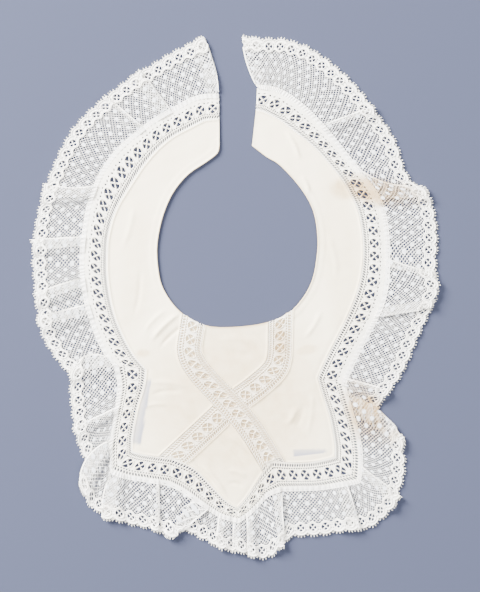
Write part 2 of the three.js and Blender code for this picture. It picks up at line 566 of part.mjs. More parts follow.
/** Adds the scallops, the soft ridges and the wall to the path of one length of edging. */
function edging(rows, phase) {
  const steps = laid(rows);
  const radius = PITCH / 2;                         // of a fold, at the middle of its wall
  const list = [];                                  // { row, z, push } push = millimetres forward
  const add = (row, z, push) => list.push({ row, z, push });
  steps.forEach(({ points, from, to, start, stop }) => {
    // Lengths along the stretch at the middle of the edging.
    const sums = [0];
    for (let i = 1; i < points.length; i += 1) {
      sums.push(sums[i - 1] + distanceBetween(points[i - 1], points[i]));
    }
    const clearAfter = points.findIndex((p) => p.clear === "after");
    const clearBefore = points.findIndex((p) => p.clear === "before");
    const rampAfter = clearAfter > 0 ? rampRoom(sums.at(-1) - sums[clearAfter]) : RAMP;
    const rampBefore = clearBefore > 0 ? rampRoom(sums[clearBefore]) : RAMP;
    const heightAt = (s) => {
      let layer = 0;
      if (clearAfter > 0) {
        const past = s - sums[clearAfter] - PITCH;
        layer = Math.max(layer, from * (1 - smooth(past / rampAfter)));
      } else if (from > 0 && from === to) {
        layer = from;
      }
      if (clearBefore > 0) {
        const until = sums[clearBefore] - PITCH - s;
        layer = Math.max(layer, to * (1 - smooth(until / rampBefore)));
      }
      return level(layer);
    };
    const wavesHere = points.map((p, i) => (p.kind === "wave" ? sums[i] : null)).filter((s) => s !== null);
    const ridge = (s) => wavesHere.reduce((z, at) => {
      const t = Math.abs(s - at) / (WAVE_WIDTH / 2);
      return Math.max(z, t < 1 ? WAVE_HEIGHT * (0.5 + 0.5 * Math.cos(Math.PI * t)) : 0);
    }, 0);
    const extra = [];
    for (const t of [0, 0.33, 0.67, 1]) {
      if (clearAfter > 0) extra.push(sums[clearAfter] + PITCH + t * rampAfter);
      if (clearBefore > 0) extra.push(sums[clearBefore] - PITCH - t * rampBefore);
    }
    wavesHere.forEach((at) => extra.push(...[-1, -0.5, 0, 0.5, 1].map((t) => at + (t * WAVE_WIDTH) / 2)));
    const end = sums.at(-1);
    for (let i = 1; i < points.length; i += 1) {
      const [a, b] = [points[i - 1].foot, points[i].foot];
      for (const corner of CORNERS) {
        const t = (corner - a) / (b - a);
        if (t > 0 && t < 1) extra.push(mix(sums[i - 1], sums[i], t));
      }
    }
    const grid = [];
    for (let s = 0; s < end; s += LINE_STEP) grid.push(s);
    const wanted = [...sums.slice(1, -1), ...extra.filter((s) => s > 0.6 && s < end - 0.6)];
    const all = [0, ...wanted, end];
    for (const s of grid) if (all.every((other) => Math.abs(other - s) > 1.2)) all.push(s);
    const sorted = [...new Set(all)].sort((x, y) => x - y)
      .filter((s, i, array) => i === 0 || s - array[i - 1] > LEAST_STEP || s === end);
    const rowAt = (s) => {
      let i = 0;
      while (i < sums.length - 2 && sums[i + 1] < s) i += 1;
      const t = (s - sums[i]) / Math.max(1e-6, sums[i + 1] - sums[i]);
      return mixRow(points[i], points[i + 1], Math.min(1, Math.max(0, t)));
    };
    // A folded edge stands half a wall inside its own line, so its centre is drawn back.
    const inset = radius + WALL / 2;
    const pushAt = (s) => {
      const fade = Math.max(LEAST_RAMP, end * FOLD_FADE);
      let push = 0;
      if (start) push -= start.direction * inset * (1 - smooth(s / fade));
      if (stop) push -= stop.direction * inset * (1 - smooth((end - s) / fade));
      return push;
    };
    sorted.forEach((s, i) => {
      if (start && i === 0) return;                 // the fold has laid it
      const last = i === sorted.length - 1;
      if (!(stop && last)) add(rowAt(s), heightAt(s) + ridge(s), pushAt(s));
    });
    if (stop) {
      const row = points.at(-1);
      const low = Math.min(stop.from, stop.to);
      const middle = (level(low) + level(low + 1)) / 2;
      const sign = stop.from < stop.to ? 1 : -1;
      for (let i = 0; i <= TURN_STEPS; i += 1) {
        const angle = -Math.PI / 2 + (Math.PI * i) / TURN_STEPS;
        const outwards = radius * Math.cos(angle) - inset;
        add(row, middle + sign * radius * Math.sin(angle), stop.direction * outwards);
      }
    }
  });
  // Scallops follow the length of the scalloped edge.
  let travelled = phase;
  let previous = null;
  const grid = list.map(({ row, z, push }) => {
    const line = across(row);
    const foot = footPoint(row.foot + push);
    const edge = line.edge.clone().addScaledVector(line.forward, push);
    if (previous) travelled += previous.distanceTo(edge);
    previous = edge;
    const lobe = Math.abs(Math.sin((Math.PI * travelled) / SCALLOP_PITCH)) ** 0.7;
    return [0, 0.5, 1].map((v) => {
      const p = mixPoint(foot, edge, v).addScaledVector(line.forward, line.bow * 4 * v * (1 - v));
      if (v === 1) p.addScaledVector(line.reach, -SCALLOP_DEPTH * (1 - lobe));
      return new THREE.Vector3(p.x, p.y, z);
    });
  });
  const outward = list.map(({ row, push }) => {
    const { tangent } = along(FOOT, FOOT_SUMS, row.foot + push);
    return new THREE.Vector3(tangent.y, -tangent.x, 0);
  });
  return { geometry: wall(grid.map((line) => line.reverse()), outward), travelled };
}

// ---------------------------------------------------------------- the collar

const COLOURS = { batiste: 0xfbf7ee, lining: 0xf3ede0, insertion: 0xf6f4ef, edging: 0xf2f2f2 };
const collar = new THREE.Group();
collar.name = "lace_collar";
function addPiece(name, geometry, colour) {
  const material = new THREE.MeshStandardMaterial({ color: COLOURS[colour], roughness: 0.9 });
  const mesh = new THREE.Mesh(geometry, material);
  mesh.name = name;
  collar.add(mesh);
}

addPiece("panel_left", leftPanel(), "batiste");
addPiece("panel_right", rightPanel(), "batiste");
addPiece("panel_neck", neckInset(12), "batiste");
addPiece("panel_point", pointPanel(), "batiste");
addPiece("yoke_lining", lining(), "lining");
addPiece("band_from_left", band(bandA, neck, batisteEdge, 30), "insertion");
addPiece("band_from_right_upper", band(bandB, neck, bandA.seamRight, 18), "insertion");
addPiece("band_from_right_lower", band(bandB, bandA.seamLeft, batisteEdge, 10), "insertion");
Object.keys(BORDERS).forEach((name, i, names) => {
  addPiece(name, border(footLines[i], clothLines[i], i === 0, i === names.length - 1), "insertion");
});
let phase = 0;
for (const [name, rows] of Object.entries(EDGING)) {
  const { geometry, travelled } = edging(rows, phase);
  phase = travelled;
  addPiece(name, geometry, "edging");
}

// The origin is under the middle of the collar.
const middle = new THREE.Box3().setFromObject(collar).getCenter(new THREE.Vector3());
collar.position.set(-middle.x, -middle.y, 0);

export default collar;
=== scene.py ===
"""Lace collar: cotton batiste with lace insertion and a gathered lace edging, laid out flat.

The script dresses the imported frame. Shapes are worked out in millimetres, in the collar's own plane:
+X to the right, +Y from the front point to the back opening, +Z up. Blender's meshes are in metres.
"""
import math
from collections import namedtuple

import bpy
import numpy as np
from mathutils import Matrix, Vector
from mathutils.geometry import delaunay_2d_cdt


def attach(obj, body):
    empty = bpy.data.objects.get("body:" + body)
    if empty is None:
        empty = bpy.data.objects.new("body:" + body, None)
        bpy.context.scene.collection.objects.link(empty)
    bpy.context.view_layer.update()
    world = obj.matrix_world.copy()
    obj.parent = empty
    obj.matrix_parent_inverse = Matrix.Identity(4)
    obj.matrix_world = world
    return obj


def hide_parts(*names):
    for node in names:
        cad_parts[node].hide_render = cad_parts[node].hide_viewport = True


bl_info = {
    "name": "Lace Collar",
    "version": (1, 0, 0),
    "blender": (4, 5, 0),
    "location": "View3D > Sidebar > Collar",
    "description": "Batiste, insertion and gathered edging of a lace collar that lies flat",
    "category": "Object",
}

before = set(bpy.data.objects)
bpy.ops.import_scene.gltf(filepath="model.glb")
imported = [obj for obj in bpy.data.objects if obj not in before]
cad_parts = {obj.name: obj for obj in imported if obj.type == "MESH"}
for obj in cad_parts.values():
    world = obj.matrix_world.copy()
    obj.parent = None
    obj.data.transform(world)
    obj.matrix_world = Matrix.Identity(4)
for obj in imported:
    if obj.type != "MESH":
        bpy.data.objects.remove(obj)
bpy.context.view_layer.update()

# ---------------------------------------------------------------- shape tables, in millimetres

# The neck edge, from the left back corner round the front to the right back corner: x, y.
NECK = [
    (-10.4, 97.7), (-11.7, 92.8), (-19.2, 86.9), (-30.2, 79.5), (-39.3, 69.1), (-45.2, 57.4),
    (-49.1, 44.4), (-51, 30.1), (-49.7, 14.5), (-46.5, 4.1), (-38.7, -7.3), (-28.9, -14.8),
    (-15.9, -19.7), (2.9, -19.7), (19.8, -17.1), (33.5, -11.5), (43.2, -1.8), (49.7, 10.2),
    (52.6, 24.2), (53.3, 38.5), (50.4, 55.7), (41.9, 70.7), (28.9, 85), (20.5, 90.2), (10.7, 97.7),
]

# The insertion round the batiste, sections across it: foot x, foot y, cloth x, cloth y.
BORDERS = {
    "border_left_arm": [
        (-10.7, 128.9, -10.7, 115.2), (-19.8, 128.9, -19.2, 114.6), (-28.3, 126.6, -24.4, 112.3),
        (-36.1, 122.4, -30.9, 109), (-45.8, 117.2, -40.6, 103.8), (-55.6, 111, -49.1, 97),
        (-63.4, 104.8, -55.2, 90.5), (-70.5, 99, -60.8, 83.4), (-77.7, 91.8, -66, 75.6),
        (-84.2, 82.7, -71.2, 67.4), (-88.7, 74.3, -75.7, 60), (-92, 65.8, -79.3, 51.8),
        (-94.6, 57.4, -81.6, 43.7), (-96.5, 46.3, -83.2, 34.6), (-98.2, 34.6, -83.5, 24.9),
        (-98.8, 23.6, -83.5, 15.8), (-98.5, 12.5, -82.5, 6), (-96.9, 2.1, -80.9, -3.7),
        (-94.6, -8.3, -78.3, -13.5), (-91, -19.3, -74.8, -22.6), (-86.8, -29.7, -70.5, -31.4),
        (-82.2, -38.2, -65.3, -39.8), (-76.4, -45.3, -58.2, -47.9),
    ],
    "border_left_side": [
        (-76.4, -45.3, -58.2, -47.9), (-74.1, -57.7, -59.5, -58.3), (-75.7, -70.7, -63.4, -70.7),
        (-78.3, -83.7, -66, -83.7), (-80, -96.7, -67.3, -93.4), (-80.3, -112.9, -67.3, -101.2),
    ],
    "border_left_bottom": [
        (-80.3, -112.9, -67.3, -101.2), (-69.9, -116.5, -61.4, -102.9), (-56.9, -118.5, -53.6, -104.2),
        (-42.6, -120.7, -41.3, -105.8),
    ],
    "border_left_point": [
        (-42.6, -120.7, -41.3, -105.8), (-32.2, -126.3, -27, -112), (-19.8, -135, -15.9, -123.3),
        (-9.4, -141.5, -6.8, -132.8), (1.6, -144.8, 1, -138),
    ],
    "border_right_point": [
        (1.6, -144.8, 1, -138), (8.1, -140.6, 6.2, -132.4), (14.6, -134.4, 11.4, -125),
        (20.5, -127.9, 16.6, -116.8), (28.9, -124.3, 23.1, -107.7),
    ],
    "border_right_bottom": [
        (28.9, -124.3, 23.1, -107.7), (40.6, -124, 35.4, -108.4), (53.6, -123.7, 48.4, -108.1),
        (66.6, -121.7, 58.2, -106.4), (79.6, -119.4, 64.7, -104.5),
    ],
    "border_right_side": [
        (79.6, -119.4, 64.7, -104.5), (80.3, -107.7, 64.7, -96.7), (79.6, -96.7, 63.4, -88.2),
        (77, -83.7, 61.1, -77.2), (73.1, -70.7, 57.5, -66.1), (69.2, -57, 53.6, -53.1),
    ],
    "border_right_arm": [
        (69.2, -57, 53.6, -53.1), (73.8, -46, 58.2, -42.7), (79.6, -34.3, 63.7, -31.7),
        (85.5, -23.2, 69.2, -21), (90.7, -13.5, 74.4, -9.6), (94.6, -3.7, 78.3, 0.2),
        (96.9, 6.7, 81.2, 10.6), (97.8, 18.4, 82.9, 21.6), (97.8, 30.1, 83.2, 32.7),
        (97.2, 41.8, 82.2, 43.7), (95.2, 53.5, 80, 54.8), (91.7, 64.2, 75.7, 64.8),
        (85.5, 74.3, 70.2, 74.6), (78.3, 83, 64, 82.7), (71.8, 90.5, 57.9, 89.9), (65, 99, 51.4, 96.7),
        (58.8, 106.4, 44.2, 102.9), (51.7, 114.2, 36.7, 108.7), (43.9, 121.7, 29.6, 113.9),
        (35.4, 128.2, 22.4, 118.1), (26.3, 133.1, 17.2, 120.4), (14, 135.4, 13.3, 121.1),
    ],
}

# Centre lines of the two bands that cross on the yoke, from the neck down: x, y.
BAND_FROM_LEFT = [
    (-26.7, -12.8), (-28.9, -25.8), (-29.9, -36.2), (-25.7, -46), (-15.3, -58.3), (-2.9, -71),
    (10.7, -87.6), (23.1, -107.7),
]
BAND_FROM_RIGHT = [
    (29.2, -11.5), (28.9, -27.1), (28.3, -40.1), (24.7, -48.6), (12, -60), (-2.9, -71), (-19.8, -86.9),
    (-41.3, -106.8),
]

# The lining under the yoke, left to right: top x, top y, bottom x, bottom y.
LINING = [
    (-61.8, -98, -61.8, -100.3), (-58.2, -77.2, -55.6, -101.6), (-56.4, -58.6, -49.1, -103.5),
    (-56.4, -46.8, -41.3, -104.8), (-58.2, -36.2, -29.6, -110.3), (-47.1, -22.6, -20.6, -115.6),
    (-34.8, -12.2, -13.4, -122.8), (-25.7, -17.1, -8.2, -128.2), (-15.9, -20.6, -3.4, -132.6),
    (1.6, -20.6, 1, -135.4), (17.9, -18.7, 4.8, -131.4), (27.6, -15.4, 9.2, -124.2),
    (36.7, -10.2, 13.4, -118), (49.1, -21.3, 17, -112.4), (58.6, -35.9, 22.8, -106.2),
    (52.9, -53.1, 38.4, -104.6), (56.2, -67.4, 49.7, -103.5), (60.1, -81.7, 56.2, -102.5),
    (62.7, -96, 62.7, -100.9),
]

# The edging, a row for each line across it, from the left back end round the front.
# kind, foot (millimetres along the border's outer line), edge x, edge y, bow (bend of its middle).
# run lies on the surface, wave is a soft ridge, hem and end the turned back hem, shown a folded
# edge on top and hidden a folded edge underneath.
EDGING = {
    "edging_left_back": [
        ("end", 6.4, -28.6, 164.9, 0), ("hem", 0, -20.8, 169.2, -2), ("run", 17.9, -41.3, 158.8, 0),
        ("run", 25.9, -51, 152.9, 0), ("hidden", 39.3, -67.9, 142.5, 0),
        ("shown", 32.6, -62.1, 147.1, 0), ("run", 44.1, -74.4, 138, 0), ("wave", 54.2, -85.5, 129.5, 0),
        ("run", 65.8, -97.2, 119.1, 0), ("run", 77.7, -106.9, 108.1, 0), ("run", 88.7, -114.7, 93.8, 0),
        ("run", 96.6, -119.9, 81.4, 0), ("hidden", 108.5, -125.8, 65.2, 1.3),
        ("shown", 102.2, -124.5, 73.3, 2), ("run", 114.7, -128.4, 55.4, 0),
        ("run", 125.3, -130.7, 44.4, 0), ("hidden", 142.3, -131.6, 30.1, 0),
        ("shown", 136.4, -132.9, 36.9, 0), ("run", 152.8, -132.3, 22.3, 0),
    ],
    "edging_left_arm": [
        ("run", 152.8, -132.3, 22.3, 0), ("hidden", 167.9, -129.7, -4.4, 0),
        ("shown", 162.6, -131, 2.1, 0), ("hidden", 186.6, -127.7, -19.3, 0),
        ("shown", 180.4, -129.7, -13.5, 0), ("run", 195.2, -124.5, -29.1, 0),
        ("run", 204.5, -118.6, -38.2, 0), ("hidden", 225.4, -107.2, -53.2, -2),
        ("shown", 219.2, -106.9, -45.3, -5.2), ("run", 236.7, -107.9, -62.2, 0),
    ],
    "edging_left_side": [
        ("run", 236.7, -107.9, -62.2, 0), ("run", 245.9, -106.9, -72, 0),
        ("wave", 253.1, -105.3, -86.9, 0), ("run", 259.1, -101.7, -98.6, 0),
        ("run", 265.7, -97.5, -107.7, 0), ("hidden", 278, -98, -130.6, -2),
        ("shown", 273.8, -101.7, -124, -6.5), ("run", 285.9, -94.6, -137.6, 0),
        ("hidden", 299.9, -78.4, -145.6, -1), ("shown", 294.5, -86.8, -144.8, -2.6),
        ("run", 306.6, -64.7, -149.3, 0), ("run", 316.6, -55.6, -151.3, 0),
    ],
    "edging_left_point": [
        ("run", 316.6, -55.6, -151.3, 0), ("wave", 324.5, -51.2, -152.7, 0),
        ("shown", 363, -41, -158.4, 0), ("hidden", 350.5, -45.2, -155.6, 0),
        ("run", 358.6, -31.5, -152.6, 0), ("run", 363.4, -23.7, -157.1, 0),
        ("run", 367, -17.9, -159.7, 0), ("hidden", 374.3, -8.7, -164.8, 0),
        ("shown", 370.6, -13.3, -162.3, 0), ("hidden", 384.3, 2.4, -166.2, 0),
        ("shown", 380.4, -2.3, -166.2, 0), ("hidden", 393.4, 12, -169.9, 0),
        ("shown", 389.6, 8.1, -168.8, 0), ("run", 399.8, 17.9, -170.8, 0),
    ],
    "edging_right_point": [
        ("run", 399.8, 17.9, -170.8, 0), ("run", 405.8, 23.6, -169.6, 0),
        ("shown", 418.6, 32, -162.9, 0), ("hidden", 413.1, 27.9, -165, 0),
        ("run", 421.7, 36, -156.4, 0), ("run", 430.8, 45.8, -155.8, 0), ("run", 441.9, 56.9, -155.2, 0),
    ],
    "edging_right_corner": [
        ("run", 441.9, 56.9, -155.2, 0), ("run", 448.4, 64, -153.9, 0),
        ("shown", 461.5, 81.6, -151.9, 0), ("hidden", 454.9, 73.5, -152.6, 0),
        ("run", 464.5, 88.1, -150.6, 0), ("run", 468, 96.2, -144.4, 0),
        ("shown", 478.6, 107.6, -129.8, 0), ("hidden", 473.8, 103.4, -136.6, 0),
        ("run", 480.6, 109.5, -118.1, 0), ("run", 485.1, 110.5, -107.1, 0),
    ],
    "edging_right_side": [
        ("run", 485.1, 110.5, -107.1, 0), ("shown", 530.3, 110.6, -93.1, 3.5),
        ("hidden", 511.7, 108.6, -99.3, 0.8), ("run", 521.7, 93, -81.7, 0),
        ("run", 531.4, 94.6, -68.7, 0), ("wave", 536.2, 99.8, -62.2, 0),
        ("run", 546.1, 106.9, -53.1, 0), ("run", 556.6, 112.8, -41.4, 0),
    ],
    "edging_right_arm": [
        ("run", 556.6, 112.8, -41.4, 0), ("run", 570.2, 118, -28.4, 0),
        ("hidden", 588.1, 130.3, -1.8, 0), ("shown", 581.3, 127.7, -7.6, 0),
        ("run", 597.2, 132.9, 6.7, 0), ("shown", 620.7, 128.4, 16.4, -1.3),
        ("hidden", 615.5, 131, 11.2, 0), ("run", 625.9, 130.3, 24.9, 0), ("run", 632.4, 131.3, 32.7, 0),
    ],
    "edging_right_back": [
        ("run", 632.4, 131.3, 32.7, 0), ("run", 641.6, 131, 44.4, 0), ("run", 649.5, 128.9, 57.4, 0),
        ("shown", 686.1, 122, 72.3, -5.2), ("hidden", 660.9, 126.3, 65.3, -1.2),
        ("run", 673.7, 114.2, 74.8, 0), ("run", 681.9, 109.5, 83.4, 0), ("run", 690.2, 107.6, 91.2, 0),
        ("run", 699.5, 104.3, 100.9, 0), ("run", 709.4, 98.5, 110.7, 0), ("wave", 719, 90, 122.4, 0),
        ("run", 727.5, 82.9, 131.5, 0), ("run", 736.7, 73.1, 142.5, 0), ("run", 746.5, 59.5, 154.2, 0),
        ("run", 754.1, 46.5, 162.7, 0), ("run", 758.9, 32.2, 167.5, 0), ("hem", 769.4, 4.2, 168.8, 2),
        ("end", 764.3, 15.2, 167.7, 0),
    ],
}

# Soft folds in the batiste: from x, y to x, y, width across, height (a trough is negative).
CREASES = [
    (-56, -30, -35, -10, 5, 0.9), (-50, -34, -30, -17, 4, -0.7), (-60, -24, -44, -8, 4, 0.5),
    (-58, -56, -30, -59, 5, 0.5), (-56, -64, -33, -62, 4, -0.5), (-60, -72, -42, -71, 4, 0.4),
    (-9, -87, 17, -110, 5, 1.0), (-14, -90, 10, -114, 4, -0.6), (-24, -108, -5, -131, 5, 0.8),
    (-30, -104, -12, -126, 4, -0.6), (-6, -113, 8, -118, 5, 0.5), (-6, -122, 6, -124, 4, -0.4),
    (39, -71, 33, -84, 5, 0.8), (44, -68, 39, -86, 4, -0.5), (9, -67, 32, -55, 5, 0.5),
    (32, 108, 42, 88, 5, 0.7), (42, 79, 48, 66, 5, 0.6), (60, 40, 66, 10, 6, 0.4),
    (-66, 60, -74, 30, 6, 0.4), (-62, 20, -66, -14, 5, -0.4), (56, -8, 44, -28, 5, 0.5),
    (-15, -28, 18, -30, 5, 0.4), (-8, -37, 12, -40, 4, -0.4), (50, -60, 46, -92, 4, 0.4),
]

# Where the cotton has yellowed: centre x, y, half lengths, turn in degrees, strength.
STAINS = [
    (92, 68, 27, 10, -12, 1.0), (84, -76, 13, 23, 22, 1.0), (29, -31, 6, 18, 6, 0.65),
    (8, -33, 10, 8, 0, 0.45), (46, -35, 9, 4, 10, 0.45), (-60, -37, 5, 3, 0, 0.5),
    (70, 70, 10, 8, 0, 0.6), (100, -92, 10, 4, 30, 0.4), (-2, -71, 9, 9, 0, 0.35),
    (0, -70, 62, 60, 0, 0.45), (70, 20, 14, 70, 8, 0.16), (-66, 10, 10, 50, -6, 0.12),
]

# Strips where the lining stops short, painted grey for the dark floor seen through one layer of batiste: from
# x, y to x, y, and the width, which lies to the right of the way.
LINING_ENDS = [
    (-54.0, -52.5, -61.6, -97.4, 6.6), (60.0, -101.9, 37.4, -104.6, 4.6),
]

# ---------------------------------------------------------------- sizes and colours


def length_property(name, text, metres):
    """A length of one of the groups, in metres."""
    return bpy.props.FloatProperty(
        name=name, description=text, default=metres, min=0.0, precision=5, unit="LENGTH", subtype="DISTANCE"
    )


def colour_property(name, text, code):
    """A colour of one of the groups, from its sRGB hex code."""
    return bpy.props.FloatVectorProperty(
        name=name, description=text, default=linear(code), size=3, min=0.0, max=1.0, subtype="COLOR"
    )


def linear(code):
    """The linear colour of an sRGB hex code."""
    parts = [int(code[i : i + 2], 16) / 255 for i in (1, 3, 5)]
    return tuple(c / 12.92 if c <= 0.04045 else ((c + 0.055) / 1.055) ** 2.4 for c in parts)


class CollarLace(bpy.types.PropertyGroup):
    """Sizes of the two laces."""

    repeat: length_property("Repeat", "Length of one scallop, and of one flower of the insertion", 0.0083)
    edging_width: length_property("Edging width", "From the footing to the tips of the scallops", 0.035)
    scallop_depth: length_property("Scallop depth", "From the tips of the scallops to the dips", 0.0017)
    picot: length_property("Picot", "Length of the small loops round the scallops", 0.0016)
    mesh: length_property("Mesh", "Side of one square of the net", 0.00168)
    net_thread: length_property("Net thread", "Width of a thread of the net", 0.0004)
    fold_thread: length_property("Fold", "Width of the threads bunched along a pressed fold", 0.001)
    gimp_thread: length_property("Gimp", "Width of the thread that outlines the border", 0.0007)
    spot: length_property("Spot", "Diameter of a spot in the net", 0.0029)
    cloth_thickness: length_property("Lace thickness", "Thickness of the dense parts", 0.00032)
    insertion_width: length_property("Insertion width", "Width that the insertion was made to", 0.015)


class CollarCloth(bpy.types.PropertyGroup):
    """Sizes of the batiste and the lining."""

    thickness: length_property("Thickness", "Thickness of the batiste", 0.0003)
    thread_spacing: length_property("Thread spacing", "Spacing of the batiste's threads as drawn", 0.00045)
    seam_roll: length_property("Seam roll", "Height of the rolled seams", 0.00045)
    neck_turning: length_property("Neck turning", "Width of the turning along the neck edge", 0.0045)
    stitch: length_property("Stitch", "Length of one whipping stitch of the seams", 0.0014)


class CollarColours(bpy.types.PropertyGroup):
    """Colours of the cottons and of the floor."""

    batiste: colour_property("Batiste", "Cream cotton batiste", "#FCEFD2")
    lining: colour_property("Lining", "Plain cotton under the yoke", "#F1E2C4")
    insertion: colour_property("Insertion", "Cotton of the insertion lace", "#FCF7E8")
    edging: colour_property("Edging", "Cotton of the edging lace", "#FBF8F0")
    spots: colour_property("Spots", "The thin cloth of the spots in the net", "#DDE1E5")
    yellowed: colour_property("Yellowed", "Cotton that has yellowed with age", "#B58F45")
    floor: colour_property("Floor", "Plain grey-blue floor", "#3D4153")


class CollarStage(bpy.types.PropertyGroup):
    """The camera and the lights."""

    view_height: length_property("View height", "What the view takes in from bottom to top", 0.3848)
    camera_height: length_property("Camera height", "Height of the camera above the floor", 1.8)
    softness: length_property("Softness", "Side of the main light", 0.9)


# ---------------------------------------------------------------- lines in the plane


def curve(points, per):
    """A smooth line through the points, with `per` steps to each stretch."""
    p = np.asarray(points, float)
    p = np.vstack([2 * p[0] - p[1], p, 2 * p[-1] - p[-2]])
    line = []
    for a, b, c, d in zip(p[:-3], p[1:-2], p[2:-1], p[3:]):
        for k in range(per):
            t = k / per
            line.append(0.5 * (2 * b + (c - a) * t + (2 * a - 5 * b + 4 * c - d) * t**2
                               + (3 * b - a - 3 * c + d) * t**3))
    return np.array([*line, p[-2]])


def stations(line):
    """Length along the line up to each of its points."""
    steps = np.linalg.norm(np.diff(line, axis=0), axis=1)
    return np.concatenate([[0.0], np.cumsum(steps)])


def read(line, sums, s):
    """The points of the line at the lengths s."""
    return np.stack([np.interp(s, sums, line[:, k]) for k in range(line.shape[1])], axis=-1)


def even(line, count):
    """The line cut again into equal steps."""
    sums = stations(line)
    return read(line, sums, np.linspace(0, sums[-1], count + 1))


def cut(line, start, stop):
    """The part of a line between two lengths."""
    sums = stations(line)
    stop = min(stop, sums[-1])
    inside = line[(sums > start + 0.05) & (sums < stop - 0.05)]
    return np.vstack([read(line, sums, [start]), inside, read(line, sums, [stop])])


def unit(v):
    """The vectors at length 1."""
    return v / np.maximum(np.linalg.norm(v, axis=-1, keepdims=True), 1e-12)


def offset(line, distance):
    """The line moved sideways, to the left of its travel for a positive distance."""
    steps = unit(np.diff(line, axis=0))
    before = np.vstack([steps[:1], steps])
    after = np.vstack([steps, steps[-1:]])
    tangent = unit(before + after)
    normal = np.stack([-tangent[:, 1], tangent[:, 0]], axis=1)
    square = (normal * np.stack([-after[:, 1], after[:, 0]], axis=1)).sum(1)
    return line + normal * (distance / np.maximum(0.5, square))[:, None]


def crossing(line_a, line_b):
    """Where two lines cross: the length along the first."""
    sums = stations(line_a)
    for i in range(len(line_a) - 1):
        r = line_a[i + 1] - line_a[i]
        for j in range(len(line_b) - 1):
            s = line_b[j + 1] - line_b[j]
            turn = r[0] * s[1] - r[1] * s[0]
            if abs(turn) < 1e-9:
                continue
            gap = line_b[j] - line_a[i]
            t = (gap[0] * s[1] - gap[1] * s[0]) / turn
            u = (gap[0] * r[1] - gap[1] * r[0]) / turn
            if 0 <= t <= 1 and 0 <= u <= 1:
                return sums[i] + t * np.linalg.norm(r)
    raise RuntimeError("the lines do not cross")


def distance_to(line, points):
    """How far each point is from the line."""
    best = np.full(len(points), 1e9)
    for a, b in zip(line[:-1], line[1:]):
        d = b - a
        t = np.clip(((points - a) @ d) / max(d @ d, 1e-9), 0, 1)
        best = np.minimum(best, np.linalg.norm(points - (a + t[:, None] * d), axis=1))
    return best


def smooth(t):
    """An even step from 0 to 1 as t goes from 0 to 1."""
    c = np.clip(t, 0, 1)
    return c * c * (3 - 2 * c)


# ---------------------------------------------------------------- the collar's lines

SEAM = 0.3             # space left at a seam
BAND_WIDTH = 15.0      # the insertion bands on the yoke
FOOT_LINES = [curve([row[:2] for row in rows], 4) for rows in BORDERS.values()]
CLOTH_LINES = [curve([row[2:] for row in rows], 4) for rows in BORDERS.values()]
FOOT = np.vstack([FOOT_LINES[0], *[line[1:] for line in FOOT_LINES[1:]]])
CLOTH = np.vstack([CLOTH_LINES[0], *[line[1:] for line in CLOTH_LINES[1:]]])
FOOT_SUMS = stations(FOOT)
FOOT_SEAM = offset(FOOT, -SEAM - 0.1)
NECK_LINE = curve(NECK, 3)
BATISTE_EDGE = offset(CLOTH, SEAM)
# The lengths along the batiste's edge at which the borders' corners lie.
CORNER_SUMS = [
    stations(BATISTE_EDGE)[sum(len(line) - 1 for line in CLOTH_LINES[: k + 1])] for k in range(7)
]


def band_lines(rows):
    """One band's centre, its edges and the seams beside it, drawn on past both ends."""
    middle = curve(rows, 4)
    first = middle[0] + unit(middle[0] - middle[1]) * 2 * BAND_WIDTH
    last = middle[-1] + unit(middle[-1] - middle[-2]) * 2 * BAND_WIDTH
    centre = np.vstack([first, middle, last])
    half = BAND_WIDTH / 2
    return {
        "centre": centre,
        "right": offset(centre, half),
        "left": offset(centre, -half),
        "seam_right": offset(centre, half + SEAM),
        "seam_left": offset(centre, -half - SEAM),
    }


BAND_A = band_lines(BAND_FROM_LEFT)
BAND_B = band_lines(BAND_FROM_RIGHT)


def part(line, start=None, stop=None):
    """The part of a line between the two lines that it crosses."""
    return cut(
        line,
        0 if start is None else crossing(line, start),
        math.inf if stop is None else crossing(line, stop),
    )


# ---------------------------------------------------------------- faces

Faces = namedtuple("Faces", "points triangles")   # points: along, across and height, or x, y, z


def together(pieces):
    """Several sets of faces as one."""
    points, triangles, count = [], [], 0
    for piece in pieces:
        points.append(piece.points)
        triangles.append(piece.triangles + count)
        count += len(piece.points)
    return Faces(np.vstack(points), np.vstack(triangles))


def repeated(piece, places):
    """The piece at each of the places (along, across)."""
    places = np.asarray(places, float)
    shift = np.column_stack([places, np.zeros(len(places))])
    points = (piece.points[None] + shift[:, None]).reshape(-1, 3)
    step = np.arange(len(places))[:, None, None] * len(piece.points)
    return Faces(points, (piece.triangles[None] + step).reshape(-1, 3))


def merged(piece):
    """The piece with the points that coincide made one."""
    _, first, back = np.unique(
        np.round(piece.points, 3), axis=0, return_index=True, return_inverse=True
    )
    triangles = back.reshape(-1)[piece.triangles]
    keep = (triangles[:, 0] != triangles[:, 1]) & (triangles[:, 1] != triangles[:, 2])
    keep &= triangles[:, 0] != triangles[:, 2]
    return Faces(piece.points[first], triangles[keep])


